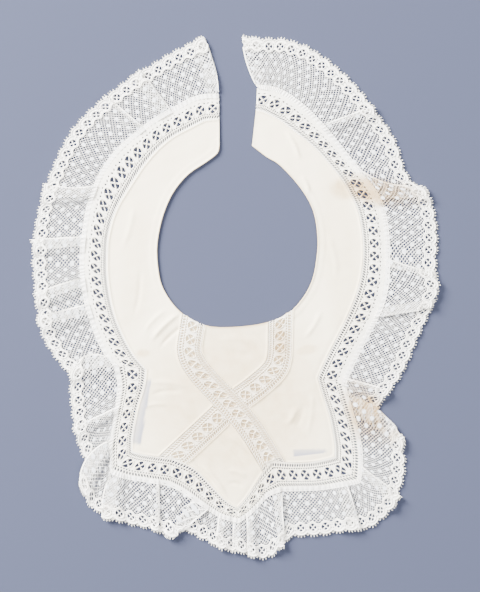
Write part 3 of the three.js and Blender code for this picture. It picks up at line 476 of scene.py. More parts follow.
def tubes(paths, width, sides=3):
    """Round threads along the paths, an array of paths of points (along, across, height)."""
    ahead = np.gradient(paths, axis=1)
    side = unit(np.stack([ahead[..., 1], -ahead[..., 0], np.zeros(ahead.shape[:2])], axis=-1))
    rings = []
    for k in range(sides):
        angle = math.pi / 2 + 2 * math.pi * k / sides
        lift = np.array([0, 0, math.sin(angle) * width / 2])
        rings.append(paths + side * (math.cos(angle) * width / 2) + lift)
    count, length = paths.shape[:2]
    points = np.stack(rings, axis=2).reshape(-1, 3)
    at = np.arange(count * length * sides).reshape(count, length, sides)
    a, b = at[:, :-1], at[:, 1:]
    c, d = np.roll(b, -1, axis=2), np.roll(a, -1, axis=2)
    walls = [np.stack([a, b, c], -1).reshape(-1, 3), np.stack([a, c, d], -1).reshape(-1, 3)]
    caps = []
    for k in range(1, sides - 1):
        caps.append(np.stack([at[:, 0, 0], at[:, 0, k], at[:, 0, k + 1]], -1))
        caps.append(np.stack([at[:, -1, 0], at[:, -1, k + 1], at[:, -1, k]], -1))
    return Faces(points, np.vstack(walls + caps))


def circle(x, y, half_x, half_y, turn=0.0, corners=8):
    """Points round an ellipse, turned by degrees."""
    a = np.linspace(0, 2 * math.pi, corners, endpoint=False)
    c, s = math.cos(math.radians(turn)), math.sin(math.radians(turn))
    px, py = half_x * np.cos(a), half_y * np.sin(a)
    return np.column_stack([x + px * c - py * s, y + px * s + py * c])


def inside(polygon, points):
    """Which of the points are inside the polygon."""
    x, y = points[:, 0], points[:, 1]
    hit = np.zeros(len(points), bool)
    for (x1, y1), (x2, y2) in zip(polygon, np.roll(polygon, -1, axis=0)):
        over = (y1 > y) != (y2 > y)
        with np.errstate(divide="ignore", invalid="ignore"):
            hit ^= over & (x < (x2 - x1) * (y - y1) / (y2 - y1) + x1)
    return hit


def cell(outline, holes, spacing, rim, raised, thickness):
    """One repeat of dense lace: flat faces with holes, their triangles and their heights.

    spacing: between the free points. rim, raised: width and height of the ridge round each hole.
    """
    outline = np.asarray(outline, float)
    rims = [h.mean(0) + (h - h.mean(0)) * (1 + rim / np.linalg.norm(h - h.mean(0), axis=1)[:, None])
            for h in holes]
    low, high = outline.min(0), outline.max(0)
    gx, gy = np.meshgrid(
        np.linspace(low[0], high[0], max(3, round((high[0] - low[0]) / spacing) + 1))[1:-1],
        np.linspace(low[1], high[1], max(3, round((high[1] - low[1]) / spacing) + 1))[1:-1],
    )
    free = np.column_stack([gx.ravel(), gy.ravel()])
    near = distance_to(np.vstack([outline, outline[:1]]), free) < spacing * 0.45    # too close to use
    for h in holes:
        reach = np.linalg.norm(h - h.mean(0), axis=1).max() + rim * 1.6
        near |= np.linalg.norm(free - h.mean(0), axis=1) < reach
    free = free[inside(outline, free) & ~near]
    rim_points = np.vstack(rims) if rims else np.zeros((0, 2))
    rim_points = rim_points[inside(outline, rim_points)]
    points = np.vstack([outline, *holes, rim_points, free])
    loops, start = [], 0
    for loop in [outline, *holes]:
        ids = list(range(start, start + len(loop)))
        loops += list(zip(ids, ids[1:] + ids[:1]))
        start += len(loop)
    verts, _, faces, _, _, _ = delaunay_2d_cdt([Vector(p) for p in points], loops, [], 0, 1e-5)
    flat = np.array([tuple(v) for v in verts])
    triangles = np.array([f for f in faces if len(f) == 3])
    middle = flat[triangles].mean(1)
    keep = inside(outline, middle)
    for h in holes:
        keep &= ~inside(h, middle)
    triangles = triangles[keep]
    lift = np.zeros(len(flat))
    if len(rim_points):
        gap = np.linalg.norm(flat[:, None] - rim_points[None], axis=2).min(1)
        lift[gap < 0.02] = raised
    return flat, triangles, lift + thickness / 2


def slab(flat, triangles, top, bottom):
    """A closed slab over flat faces: the top faces up, the walls stand on the free edges."""
    a, b, c = (flat[triangles[:, k]] for k in range(3))
    area = (b[:, 0] - a[:, 0]) * (c[:, 1] - a[:, 1]) - (b[:, 1] - a[:, 1]) * (c[:, 0] - a[:, 0])
    triangles = np.where((area < 0)[:, None], triangles[:, ::-1], triangles)
    edges = np.vstack([triangles[:, [0, 1]], triangles[:, [1, 2]], triangles[:, [2, 0]]])
    names = np.sort(edges, axis=1)
    _, first, counts = np.unique(names, axis=0, return_index=True, return_counts=True)
    free = edges[first[counts == 1]]
    n = len(flat)
    points = np.vstack([np.column_stack([flat, top]), np.column_stack([flat, np.broadcast_to(bottom, n)])])
    walls = np.vstack([
        np.column_stack([free[:, 0], free[:, 0] + n, free[:, 1] + n]),
        np.column_stack([free[:, 0], free[:, 1] + n, free[:, 1]]),
    ])
    return Faces(points, np.vstack([triangles, triangles[:, ::-1] + n, walls]))


def row_of(repeat_cell, places, bottom):
    """Cells set side by side along the lace and made one slab."""
    flat, triangles, top = repeat_cell
    count = len(places)
    points = np.column_stack([flat, top])[None] + np.column_stack(
        [places, np.zeros(count), np.zeros(count)])[:, None]
    step = np.arange(count)[:, None, None] * len(flat)
    strip = merged(Faces(points.reshape(-1, 3), (triangles[None] + step).reshape(-1, 3)))
    return slab(strip.points[:, :2], strip.triangles, strip.points[:, 2], bottom)


SLOPE_STEP = 0.12           # how far apart a surface is read to find its slope


def bent(piece, surface):
    """The flat piece laid on a surface, its heights along the surface's normal.

    The length runs to the right of the width there, so the faces are turned round.
    """
    u, y, h = piece.points.T
    du = surface(u + SLOPE_STEP, y) - surface(u - SLOPE_STEP, y)
    dy = surface(u, y + SLOPE_STEP) - surface(u, y - SLOPE_STEP)
    normal = unit(np.cross(dy, du))
    return Faces(surface(u, y) + normal * h[:, None], piece.triangles[:, ::-1])


# ---------------------------------------------------------------- the gathered edging's surface

Line = namedtuple("Line", "kind foot x y bow")
LEVEL = 0.45                # height of the middle of the lowest layer
LAYER = 0.95                # from one layer of lace to the next
PINCH_FOOT, PINCH_EDGE = 0.9, 1.4    # half widths of the narrow pressed pleats
RAMP = 5.0                  # length in which a lifted layer comes down
TURN_STEPS = 8              # steps round a folded edge
LINE_STEP = 0.8             # spacing of the lines across the lace
LEAST_RAMP = 2.4            # the shortest ramp, and the room that is left beside one
RAMP_CLEAR = 5
LEVEL_BY_FOLD = 1.3         # length beside a fold that keeps its full height
TURN_INSET = 0.15           # how far inside the solid's fold the lace turns
LEAST_FADE, FADE_SHARE = 2.5, 0.4    # length in which that is lost: the least, and its share of the stretch
LAYERS_AT = {"hem": (0, 1), "hidden": (0, 1), "shown": (1, 2)}


def stretches_of(rows):
    """The edging's lines parted at its folds. A fold is its layers before and after, and its direction."""
    parts, current = [], []
    direction = -1 if rows[0].kind == "end" else 1
    for k, row in enumerate(rows):
        current.append(row)
        if row.kind not in LAYERS_AT:
            continue
        low, high = LAYERS_AT[row.kind]
        upward = {"hem": k == 1, "hidden": direction == 1, "shown": direction == -1}[row.kind]
        fold = (low, high, direction) if upward else (high, low, direction)
        parts.append((current, fold))
        current = [row]
        direction = -direction
    parts.append((current, None))
    return parts


def pleated(rows):
    """The lines with each soft ridge pressed into a narrow pleat that faces the back of the neck."""
    out = []
    kinds = [row.kind for row in rows]
    rightwards = ("shown", "hidden") in zip(kinds, kinds[1:])
    for row in rows:
        if row.kind != "wave":
            out.append(row)
            continue
        foot = read(FOOT_SEAM, FOOT_SUMS, [row.foot])[0]
        reach = unit(np.array([row.x, row.y]) - foot)
        ahead = Line("hidden", row.foot + PINCH_FOOT, row.x - reach[1] * PINCH_EDGE,
                     row.y + reach[0] * PINCH_EDGE, row.bow)
        back = Line("shown", row.foot - PINCH_FOOT, row.x + reach[1] * PINCH_EDGE,
                    row.y - reach[0] * PINCH_EDGE, row.bow)
        out += [ahead._replace(kind="shown"), back._replace(kind="hidden")] if rightwards else [ahead, back]
    return out


def line_spacing(a, b):
    """Mean distance between two lines across the lace."""
    feet = read(FOOT_SEAM, FOOT_SUMS, [a.foot, b.foot])
    return (np.linalg.norm(feet[0] - feet[1]) + math.hypot(a.x - b.x, a.y - b.y)) / 2


def ramp_room(room):
    """A ramp's length: shorter where the next fold leaves less room for it."""
    return max(LEAST_RAMP, min(RAMP, room - RAMP_CLEAR))


def fold_lines(rows):
    """Lines across one length of edging: foot, edge x, edge y, bow, height, push forward, 1 at a fold."""
    parts = stretches_of(rows)
    inset = LAYER / 2 + TURN_INSET
    out = []
    for n, (stretch, stop) in enumerate(parts):
        start = parts[n - 1][1] if n else None
        layer_in = start[1] if start else 0
        layer_out = stop[0] if stop else 0
        points = list(stretch)
        over, under = None, None
        if layer_in >= 1 and layer_out < layer_in and n:
            over = 1
            points.insert(1, parts[n - 1][0][0])
        if layer_out >= 1 and layer_in < layer_out:
            under = len(points) - 1
            points.insert(under, parts[n + 1][0][-1])
        sums = np.concatenate([[0], np.cumsum([line_spacing(a, b) for a, b in zip(points, points[1:])])])
        end = sums[-1]
        s = np.unique(np.concatenate([np.linspace(0, end, max(3, round(end / LINE_STEP) + 1)), sums]))
        layer = np.zeros(len(s))
        if over:
            ramp = ramp_room(end - sums[over])
            layer = np.maximum(layer, layer_in * (1 - smooth((s - sums[over] - LEVEL_BY_FOLD) / ramp)))
        elif layer_in > 0 and layer_in == layer_out:
            layer[:] = layer_in
        if under:
            ramp = ramp_room(sums[under])
            layer = np.maximum(layer, layer_out * (1 - smooth((sums[under] - LEVEL_BY_FOLD - s) / ramp)))
        height = LEVEL + layer * LAYER
        fade = max(LEAST_FADE, end * FADE_SHARE)
        push = np.zeros(len(s))
        if start:
            push -= start[2] * inset * (1 - smooth(s / fade))
        if stop:
            push -= stop[2] * inset * (1 - smooth((end - s) / fade))
        table = np.array([[p.foot, p.x, p.y, p.bow] for p in points], float)
        lines = np.column_stack([read(table, sums, s), height, push, np.zeros(len(s))])
        out.append(lines[1 if start else 0 : -1 if stop else None])
        if stop:
            low = min(stop[0], stop[1])
            middle = LEVEL + (low + 0.5) * LAYER
            sign = 1 if stop[0] < stop[1] else -1
            angle = np.linspace(-math.pi / 2, math.pi / 2, TURN_STEPS + 1)
            turn = np.tile(np.append(table[-1], [0, 0, 0]), (len(angle), 1))
            turn[:, 4] = middle + sign * LAYER / 2 * np.sin(angle)
            turn[:, 5] = stop[2] * (LAYER / 2 * np.cos(angle) - inset)
            turn[TURN_STEPS // 2, 6] = 1
            out.append(turn)
    return np.vstack(out)


LEAD_LEAK = 0.3             # how fast the foot's lead is lost along the lace, and in a layer underneath
LEAD_LOST_UNDER = 0.7
LEAD_FASTEST = 0.85         # the fastest that it can be lost
LEAD_LEAST = 17.0           # the most lead where the lace is no longer than LEAD_WIDTH from edge to foot
LEAD_WIDTH = 36.0


def edging_lines():
    """All the edging's lines, the length travelled along its edge, its foot's lead, the folds, each share."""
    lines, starts = [], []
    for rows in EDGING.values():
        made = fold_lines(pleated([Line(*row) for row in rows]))
        starts.append(sum(len(x) for x in lines))
        lines.append(made[1:] if lines else made)
    foot_at, x, y, bow, height, push, fold = np.vstack(lines).T
    foot = read(FOOT_SEAM, FOOT_SUMS, foot_at)
    edge = np.column_stack([x, y])
    reach = unit(edge - foot)
    forward = np.column_stack([-reach[:, 1], reach[:, 0]])
    foot = read(FOOT_SEAM, FOOT_SUMS, foot_at + push)
    edge = edge + forward * push[:, None]
    columns = np.column_stack([foot, edge, forward * bow[:, None], height])
    travelled = stations(np.column_stack([edge, height])) + np.arange(len(edge)) * 1e-6
    bounds = [*travelled[starts], travelled[-1]]
    # Where the lace is folded on the slant, its foot runs ahead of its edge, up to half its width.
    # Gathers take up the opposite, and the lead is lost again in the layer underneath.
    ahead = np.diff(stations(np.column_stack([foot, height]))) - np.diff(travelled)
    lead = np.zeros(len(edge))
    slant = np.sqrt(np.maximum(np.sum((foot - edge) ** 2, axis=1) - LEAD_WIDTH**2, LEAD_LEAST**2))
    for k, step in enumerate(ahead):
        gone = travelled[k + 1] - travelled[k]
        if foot_at[k + 1] < foot_at[k]:
            change = -LEAD_LOST_UNDER * gone
        else:
            change = step if step > 0 else max(step - LEAD_LEAK * gone, -LEAD_FASTEST * gone)
        lead[k + 1] = np.clip(lead[k] + change, 0.0, slant[k + 1])
    return columns, travelled, lead, np.flatnonzero(fold), dict(zip(EDGING, zip(bounds, bounds[1:])))


EDGING_COLUMNS, EDGING_TRAVEL, EDGING_LEAD, EDGING_FOLDS, EDGING_SHARES = edging_lines()


LEVEL_STEPS = 14            # steps across the lace at which the lead is worked out
HIDDEN_DROP = 0.35          # how far the foot drops where it passes under the insertion
NET_FOOT = 0.4              # where the net starts, from the footing
BORDER_DEPTH = 8.2          # and how far from the tips of the scallops it ends
FOLD_THREADS = (3.0, 7.0)   # how far from the footing and the tips the threads along a fold keep


class EdgingSurface:
    """The surface that the edging follows, for points (along, across) of its flat pattern.

    The width is laid at its true size from the scalloped edge. What is left over goes under the insertion.
    """

    def __init__(self, lace):
        self.width = lace["edging_width"]
        reach = np.linalg.norm(EDGING_COLUMNS[:, 2:4] - EDGING_COLUMNS[:, 0:2], axis=1)
        straight = np.sqrt(np.maximum(reach**2 - EDGING_LEAD**2, 12.0**2))
        self.depth = np.minimum(self.width, straight)
        self.reach = reach
        # The line on which a point lies, found at even steps across the lace.
        self.levels = np.linspace(0, self.width, LEVEL_STEPS + 1)
        self.leads = [EDGING_TRAVEL + EDGING_LEAD * np.minimum((self.width - y) / self.depth, 1)
                      for y in self.levels]

    def travel(self, u, y):
        """The length along the scalloped edge whose line a point lies on."""
        grid = np.array([np.interp(u, lead, EDGING_TRAVEL) for lead in self.leads])
        at = np.clip(y / self.width, 0, 1) * LEVEL_STEPS
        low = np.clip(np.floor(at).astype(int), 0, LEVEL_STEPS - 1)
        index = np.arange(len(u))
        return grid[low, index] * (1 - at + low) + grid[low + 1, index] * (at - low)

    def share(self, u, y):
        """How far from the scalloped edge to the foot a point is, past 1 where it is hidden."""
        return (self.width - y) / np.interp(self.travel(u, y), EDGING_TRAVEL, self.depth)

    def lay(self, s, share):
        """Places in the plane and heights, for lengths along the edge and shares of the way to the foot."""
        row = read(EDGING_COLUMNS, EDGING_TRAVEL, s)
        foot, edge, bend, height = row[:, 0:2], row[:, 2:4], row[:, 4:6], row[:, 6]
        reach = np.interp(s, EDGING_TRAVEL, self.reach)
        from_foot = (1 - share) * reach
        v = share[:, None]
        flat = edge + (foot - edge) * v + bend * (4 * v * (1 - v))
        # The layers are pressed together at the seam, where the gathers pucker them. The last two waves
        # are the lace's own unevenness. Each is a height times sines of a length over its wavelength.
        pressed = 0.4 + 0.6 * smooth(from_foot / 7)
        height = LEVEL + (height - LEVEL) * pressed
        height += 0.24 * np.sin(s * 1.7 + 1.3 * np.sin(s / 4)) * np.exp(-((from_foot / 6.5) ** 2))
        height += 0.14 * np.sin(s / 6.3 + 1.0) * np.sin(from_foot / 8.0)
        height += 0.1 * np.sin(s / 2.9) * (1 - share) ** 2
        return flat, height

    def __call__(self, u, y):
        """Points of the surface. The lace wanders a little, as cloth pressed by hand does."""
        wander = 0.22 * np.sin(u / 9.0 + y / 7.0) + 0.15 * np.sin(u / 3.7 - y / 5.0)
        s = self.travel(u + wander, y)
        share = (self.width - y) / np.interp(s, EDGING_TRAVEL, self.depth)
        flat, height = self.lay(s, np.minimum(share, 1.0))
        height = height - HIDDEN_DROP * smooth((share - 0.97) / 0.03)
        return np.column_stack([flat, height])

    def folds(self, start, stop):
        """The folded edges between two lengths along the lace, as paths on its flat pattern."""
        y = np.linspace(FOLD_THREADS[0], self.width - FOLD_THREADS[1], 9)
        paths = []
        for k in EDGING_FOLDS:
            if start <= EDGING_TRAVEL[k] < stop:
                u = EDGING_TRAVEL[k] + EDGING_LEAD[k] * np.minimum((self.width - y) / self.depth[k], 1)
                paths.append(np.column_stack([u, y, np.zeros(len(y))]))
        return np.array(paths)

    def footing(self, u, y):
        """The same for the footing, whose width is measured from the seam."""
        share = 1 - y / np.interp(u, EDGING_TRAVEL, self.reach)
        flat, height = self.lay(u, share)
        return np.column_stack([flat, height + 0.16 * (1 - smooth((y - 0.2) / 1.6))])


# ---------------------------------------------------------------- lace patterns


def along_curve(function, low, high, count):
    """Points on the curve y = function(x)."""
    x = np.linspace(low, high, count)
    return np.column_stack([x, function(x)])


def leaf(x, y, turn, near, far, half):
    """A three-sided hole that points at x, y from the side that turn gives in degrees."""
    c, s = math.cos(math.radians(turn)), math.sin(math.radians(turn))
    shape = [(near, 0), (far * 0.72, -half), (far, -half * 0.4), (far, half * 0.4), (far * 0.72, half)]
    return np.array([(x + a * c - b * s, y + a * s + b * c) for a, b in shape])


TIP_CLEAR, TIP_ROUND = 0.5, 0.7      # the scallops' tips: how far inside the lace's width, and how broad
EYE_DEPTH = 5.35            # from the lace's full width to the centres of the eyes
BORDER_FOOT, BORDER_WAVE = 8.6, 0.9  # from there to the line where the border meets the net, and its wave
GIMP_INSETS = (0.4, 0.35)   # how far inside the border's two edges their threads run
RING_CORNERS = 14
EYE_RING = (2.95, 2.85)     # half width and half height of the thread round an eye
PICOT_THREAD = 0.32
PICOTS = 5                  # on each scallop
PICOT_REACH, PICOT_INSET = 3.35, 0.15    # how far from a scallop's middle they go, and their ends' depth
PICOT_LOOP = ((-0.3, 0.0), (-0.2, 0.7), (0.0, 1.0), (0.2, 0.7), (0.3, 0.0))    # along, out per length
FOOTING_EDGES = (-0.9, 2.2)     # the footing's two sides, and its pinholes: place and half sizes
PINHOLE = (1.1, 0.26, 0.34)
# The leaves round an eye: turn in degrees, where the leaf starts and ends from the centre, half width.
BORDER_LEAVES = ((180, 0.36, 2.6, 1.4), (90, 0.42, 2.3, 1.2), (-90, 0.42, 2.45, 1.3), (0, 0.36, 2.45, 1.2))
FLOWER_LEAVES = ((90, 0.45, 3.35, 1.75), (-90, 0.45, 3.25, 1.65), (0, 0.5, 3.05, 1.5), (180, 0.5, 3.1, 1.55))
# Small holes: x and y from the centre, half width, half height, turn in degrees, corners.
BORDER_HOLES = (
    (-3.5, 1.6, 0.34, 0.42, 0, 5), (3.5, 1.6, 0.34, 0.42, 0, 5),
    (-3.55, -0.4, 0.28, 0.34, 0, 5), (3.55, -0.4, 0.28, 0.34, 0, 5),
)
ARM_HOLES = (
    (-2.9, 3.9, 0.75, 0.5, 34, 6), (3.0, 4.0, 0.7, 0.45, -26, 6),
    (0.2, 4.5, 0.62, 0.38, 8, 6), (-3.3, -3.2, 0.34, 0.5, 0, 5),
)


def thread_ring(y, halves, lift):
    """The path of a thread round an ellipse in the middle of a repeat."""
    ring = circle(0, y, *halves, 0, RING_CORNERS)
    return np.column_stack([np.vstack([ring, ring[:1]]), np.full(RING_CORNERS + 1, lift)])[None]


def scalloped_border(lace):
    """The edging's dense border: its slab cell, and the raised threads and loops of one repeat."""
    p, width, depth = lace["repeat"], lace["edging_width"], lace["scallop_depth"]
    thick, gimp = lace["cloth_thickness"], lace["gimp_thread"]
    eye = width - EYE_DEPTH

    def scallop(x):
        """The line of the scallops' tips."""
        return width - TIP_CLEAR - depth * (1 - np.abs(np.cos(math.pi * x / p)) ** TIP_ROUND)

    def inner(x):
        """The line where the border meets the net."""
        return width - BORDER_FOOT - BORDER_WAVE * np.cos(2 * math.pi * x / p)

    low = along_curve(inner, -p / 2, p / 2, 9)
    high = along_curve(scallop, p / 2, -p / 2, 11)
    side = np.linspace(low[-1, 1], high[0, 1], 6)[1:-1]
    outline = np.vstack([
        low,
        np.column_stack([np.full(4, p / 2), side]),
        high,
        np.column_stack([np.full(4, -p / 2), side[::-1]]),
    ])
    holes = [leaf(0, eye, *row) for row in BORDER_LEAVES]
    holes += [circle(x, eye + y, *row) for x, y, *row in BORDER_HOLES]
    slab_cell = cell(outline, holes, spacing=1.35, rim=0.3, raised=0.16, thickness=thick)
    lift = thick / 2 + gimp * 0.18
    waves = [
        along_curve(lambda x: inner(x) + GIMP_INSETS[0], -p / 2, p / 2, 9),
        along_curve(lambda x: scallop(x) - GIMP_INSETS[1], -p / 2, p / 2, 9),
    ]
    wave_threads = tubes(np.array([np.column_stack([w, np.full(9, lift)]) for w in waves]), gimp)
    ring_thread = tubes(thread_ring(eye, EYE_RING, lift), gimp * 1.1)
    loops = []
    for x in np.linspace(-PICOT_REACH, PICOT_REACH, PICOTS):
        base = np.array([x, scallop(x) - PICOT_INSET])
        slope = np.array([1.0, (scallop(x + 0.05) - scallop(x - 0.05)) / 0.1])
        slope /= np.linalg.norm(slope)
        out = np.array([-slope[1], slope[0]])
        loop = [base + slope * a + out * b * lace["picot"] for a, b in PICOT_LOOP]
        loops.append(np.column_stack([loop, np.zeros(len(loop))]))
    picots = tubes(np.array(loops), PICOT_THREAD)
    return slab_cell, together([wave_threads, ring_thread, picots])


def footing_cell(lace):
    """One repeat of the edging's footing, a narrow tape with a row of pinholes, sewn over the insertion."""
    p = lace["repeat"]
    x = np.linspace(-p / 2, p / 2, 9)
    outline = np.vstack([
        np.column_stack([x, np.full(9, FOOTING_EDGES[0])]), [[p / 2, 0.2]],
        np.column_stack([x[::-1], np.full(9, FOOTING_EDGES[1])]), [[-p / 2, 0.2]],
    ])
    holes = [circle(c, *PINHOLE, 0, 5) for c in (np.arange(5) - 2) * p / 5]
    return cell(outline, holes, spacing=1.2, rim=0.25, raised=0.05, thickness=lace["cloth_thickness"])


SPOT_CORNERS = 10
SPOT_ROWS = np.linspace(4.4, 23.2, 5)    # how far across the lace the rows of spots are
SPOT_LIMIT = 0.96           # spots nearer the foot than this share of the way are under the insertion


def spot_shape(lace):
    """One spot of the net: a thin domed patch of close cloth."""
    ring = circle(0, 0, lace["spot"] / 2, lace["spot"] / 2, 10, SPOT_CORNERS)
    thick = lace["cloth_thickness"]
    points = np.vstack([
        [[0, 0, thick * 0.8], [0, 0, -thick / 2]],
        np.column_stack([ring, np.full(SPOT_CORNERS, thick * 0.35)]),
        np.column_stack([ring, np.full(SPOT_CORNERS, -thick / 2)]),
    ])
    faces = []
    for k in range(SPOT_CORNERS):
        a, b = 2 + k, 2 + (k + 1) % SPOT_CORNERS
        c, d = a + SPOT_CORNERS, b + SPOT_CORNERS
        faces += [(0, a, b), (1, d, c), (a, c, d), (a, d, b)]
    return Faces(points, np.array(faces))


def net_threads(lace, start, stop):
    """The net's threads in both slants, those whose middles lie between start and stop."""
    step = lace["mesh"] * math.sqrt(2)
    low, high = NET_FOOT, lace["edging_width"] - BORDER_DEPTH
    count = round((high - low) / (step / 2))
    y = low + np.arange(count + 1) * step / 2
    rise = y - y.mean()
    total = EDGING_TRAVEL[-1]
    middles = np.arange(0, total, step)
    middles = middles[(middles >= start) & (middles < stop)]
    families = []
    for slant, height in ((1, 0.06), (-1, -0.06)):
        u = np.clip(middles[:, None] + slant * rise[None], 0.1, total - 0.1)
        paths = np.stack([u, np.broadcast_to(y, u.shape), np.full(u.shape, height)], axis=-1)
        families.append(tubes(paths, lace["net_thread"]))
    return together(families)


# The insertion has an outer and an inner row of slanted holes on each side.
LADDER_ROWS = (1.5, 3.35)   # how far in from the side the two rows are
LADDER_SHIFTS = (0, 0.42)   # how far along they are moved
LADDER_HOLES = 5            # in one repeat of a row
NEAR_LADDER = ((0.55, 1.3, 28), (0.56, 0.72, 28))      # half width, half height, slant in degrees
FAR_LADDER = ((0.52, 1.2, -28), (0.52, 0.68, -28))
FLOWER_GROUND = 4.6         # where the ground of the flowers starts, from each side
UNDER_EDGING = 0.6          # how far the insertion goes on under the edging
FAR_CLEAR = 0.1             # how far it stops short at its other side
FLOWER_RING = (3.35, 3.5)   # half width and half height of the thread round a flower
CROSS_REACH = 2.2           # how far the cross in a flower goes along and across
RAIL = 2.75                 # how far in from the side the thread between the two rows runs


def ladders(p, rows, shapes):
    """Two rows of slanted holes side by side, in one repeat."""
    return [circle((k - (LADDER_HOLES - 1) / 2) * (p / LADDER_HOLES) + shift, y, *shape, 6)
            for y, shift, shape in zip(rows, LADDER_SHIFTS, shapes) for k in range(LADDER_HOLES)]


def insertion_cell(lace, outer, centre):
    """One repeat of the insertion: a flower of four leaves between rows of slanted holes.

    outer: whether the rows on the far side are there. centre: how far across the flower is.
    """
    p, width = lace["repeat"], lace["insertion_width"]
    near, shift, start, end = LADDER_ROWS, LADDER_SHIFTS[1], -UNDER_EDGING, width - FAR_CLEAR
    far = (width - near[1], width - near[0])
    bend_y = [0, *near, FLOWER_GROUND, width - FLOWER_GROUND, *far, width]
    bend_x = [0, 0, shift, 0, 0, shift, 0, 0]
    side_y = np.array([start, 0.2, near[0], 2.1, near[1], FLOWER_GROUND, 6.5, 8.5, width - FLOWER_GROUND,
                       far[0], width - 2.1, far[1], end])
    side_x = np.interp(side_y, bend_y, bend_x)
    x = np.linspace(-p / 2, p / 2, 8)[1:-1]
    right = np.column_stack([side_x + p / 2, side_y])
    left = np.column_stack([side_x - p / 2, side_y])
    outline = np.vstack([
        np.column_stack([x, np.full(6, start)]), right,
        np.column_stack([x[::-1], np.full(6, end)]), left[::-1],
    ])
    holes = ladders(p, near, NEAR_LADDER)
    if outer:
        holes += ladders(p, far[::-1], FAR_LADDER)
    else:
        holes += [circle(x, centre + y, *row) for x, y, *row in ARM_HOLES]
    holes += [leaf(0, centre, *row) for row in FLOWER_LEAVES]
    return cell(outline, holes, spacing=1.35, rim=0.3, raised=0.14, thickness=lace["cloth_thickness"])


def flower_threads(lace, outer, centre):
    """The raised threads of one repeat of the insertion: the ring, the cross and the ladders' rails."""
    p, gimp = lace["repeat"], lace["gimp_thread"]
    lift = lace["cloth_thickness"] / 2 + gimp * 0.15
    arms = []
    for slant in (1, -1):
        line = np.linspace(-CROSS_REACH, CROSS_REACH, 5)
        arms.append(np.column_stack([line, centre + line * slant, np.full(5, lift + 0.05)]))
    rails = []
    for y in (RAIL, lace["insertion_width"] - RAIL)[: 2 if outer else 1]:
        x = np.linspace(-p / 2, p / 2, 5)
        rails.append(np.column_stack([x, np.full(5, y), np.full(5, lift)]))
    ring = thread_ring(centre, FLOWER_RING, lift)
    return together([tubes(ring, gimp), tubes(np.array(arms), gimp * 1.1),
                     tubes(np.array(rails), gimp * 0.8)])


# ---------------------------------------------------------------- surfaces of the flat pieces


FLAT_LEVEL = 0.5            # height of the middle of a piece that lies on the table
YOKE_RISE = 0.42            # and how much higher it is on the lining, this far in from the seam
RISE_LENGTH = 4.5


def rise_of(points, layer):
    """Height of the batiste's middle: low at its seams, over the lining in the yoke."""
    inwards = distance_to(CLOTH, points)
    return FLAT_LEVEL + YOKE_RISE * layer * smooth(inwards / RISE_LENGTH)


def unevenness(points):
    """Small waves in cloth that was pressed long ago: heights times sines of a place over a wavelength."""
    x, y = points[:, 0], points[:, 1]
    return (0.07 * np.sin(x / 5.1 + np.sin(y / 7.0)) * np.sin(y / 6.3 + 0.6 * np.sin(x / 9))
            + 0.04 * np.sin(x / 2.3 - y / 3.1) * np.sin(y / 2.7 + x / 8))


CREASE_RISE = 1.1           # height of a crease beside its table value
CREASE_SPREAD = 0.28        # its spread beside its width
CREASE_BOW = 1.4            # how far its middle bows to one side
CREASE_END = 0.3            # the share of its length in which it fades at each end


def creased(points):
    """The height of the soft folds at each point."""
    total = np.zeros(len(points))
    for x1, y1, x2, y2, width, height in CREASES:
        start, run = np.array([x1, y1]), np.array([x2 - x1, y2 - y1], float)
        length = np.linalg.norm(run)
        run = run / length
        rel = points - start
        s = rel @ run
        bend = CREASE_BOW * np.sin(math.pi * np.clip(s / length, 0, 1))
        across = rel @ np.array([-run[1], run[0]]) - bend
        ends = smooth(s / (CREASE_END * length)) * smooth((length - s) / (CREASE_END * length))
        total += height * CREASE_RISE * ends * np.exp(-((across / (width * CREASE_SPREAD)) ** 2))
    return total


def border_surface(rows, width):
    """The surface of one stretch of the insertion round the batiste, and its length."""
    foot = curve([row[:2] for row in rows], 8)
    cloth = curve([row[2:] for row in rows], 8)
    travel = (stations(foot) + stations(cloth)) / 2
    columns = np.column_stack([cloth, foot])

    def surface(u, y):
        """Points of the surface, for lengths along and across the lace."""
        at = read(columns, travel, u)
        flat = at[:, :2] + (at[:, 2:] - at[:, :2]) * (y / width)[:, None]
        height = FLAT_LEVEL + 0.09 * np.sin(u / 4.7 + y / 5) + 0.05 * np.sin(u / 1.9)
        return np.column_stack([flat, height])

    return surface, travel[-1]


def band_surface(lines, start, stop, width, lift, steps=40):
    """The surface of an insertion band on the yoke, from one line to another, and its length."""
    edges = [even(part(lines[k], start, stop), steps) for k in ("right", "centre", "left")]
    travel = stations(edges[1])
    columns = np.hstack(edges)

    def surface(u, y):
        """Points of the surface, for lengths along and across the lace."""
        at = read(columns, travel, u)
        t = np.clip(y / width, 0, 1)[:, None]
        near = np.clip(1 - 2 * t, 0, 1) * at[:, 0:2] + np.clip(2 * t - 1, 0, 1) * at[:, 4:6]
        flat = near + (1 - np.abs(2 * t - 1)) * at[:, 2:4]
        height = rise_of(flat, 1.0) + lift + unevenness(flat) + 0.5 * creased(flat)
        return np.column_stack([flat, height])

    return surface, travel[-1]


# ---------------------------------------------------------------- batiste and lining


def steps_across(width, step=1.5):
    """Distances across a panel, close together at both edges."""
    near = np.array([0, 0.35, 0.8, 1.3, 2.2]) * min(1.0, width / 9)
    count = max(3, math.ceil((width - 2 * near[-1]) / step) + 1)
    return np.concatenate([near, np.linspace(near[-1], width - near[-1], count)[1:-1], (width - near)[::-1]])


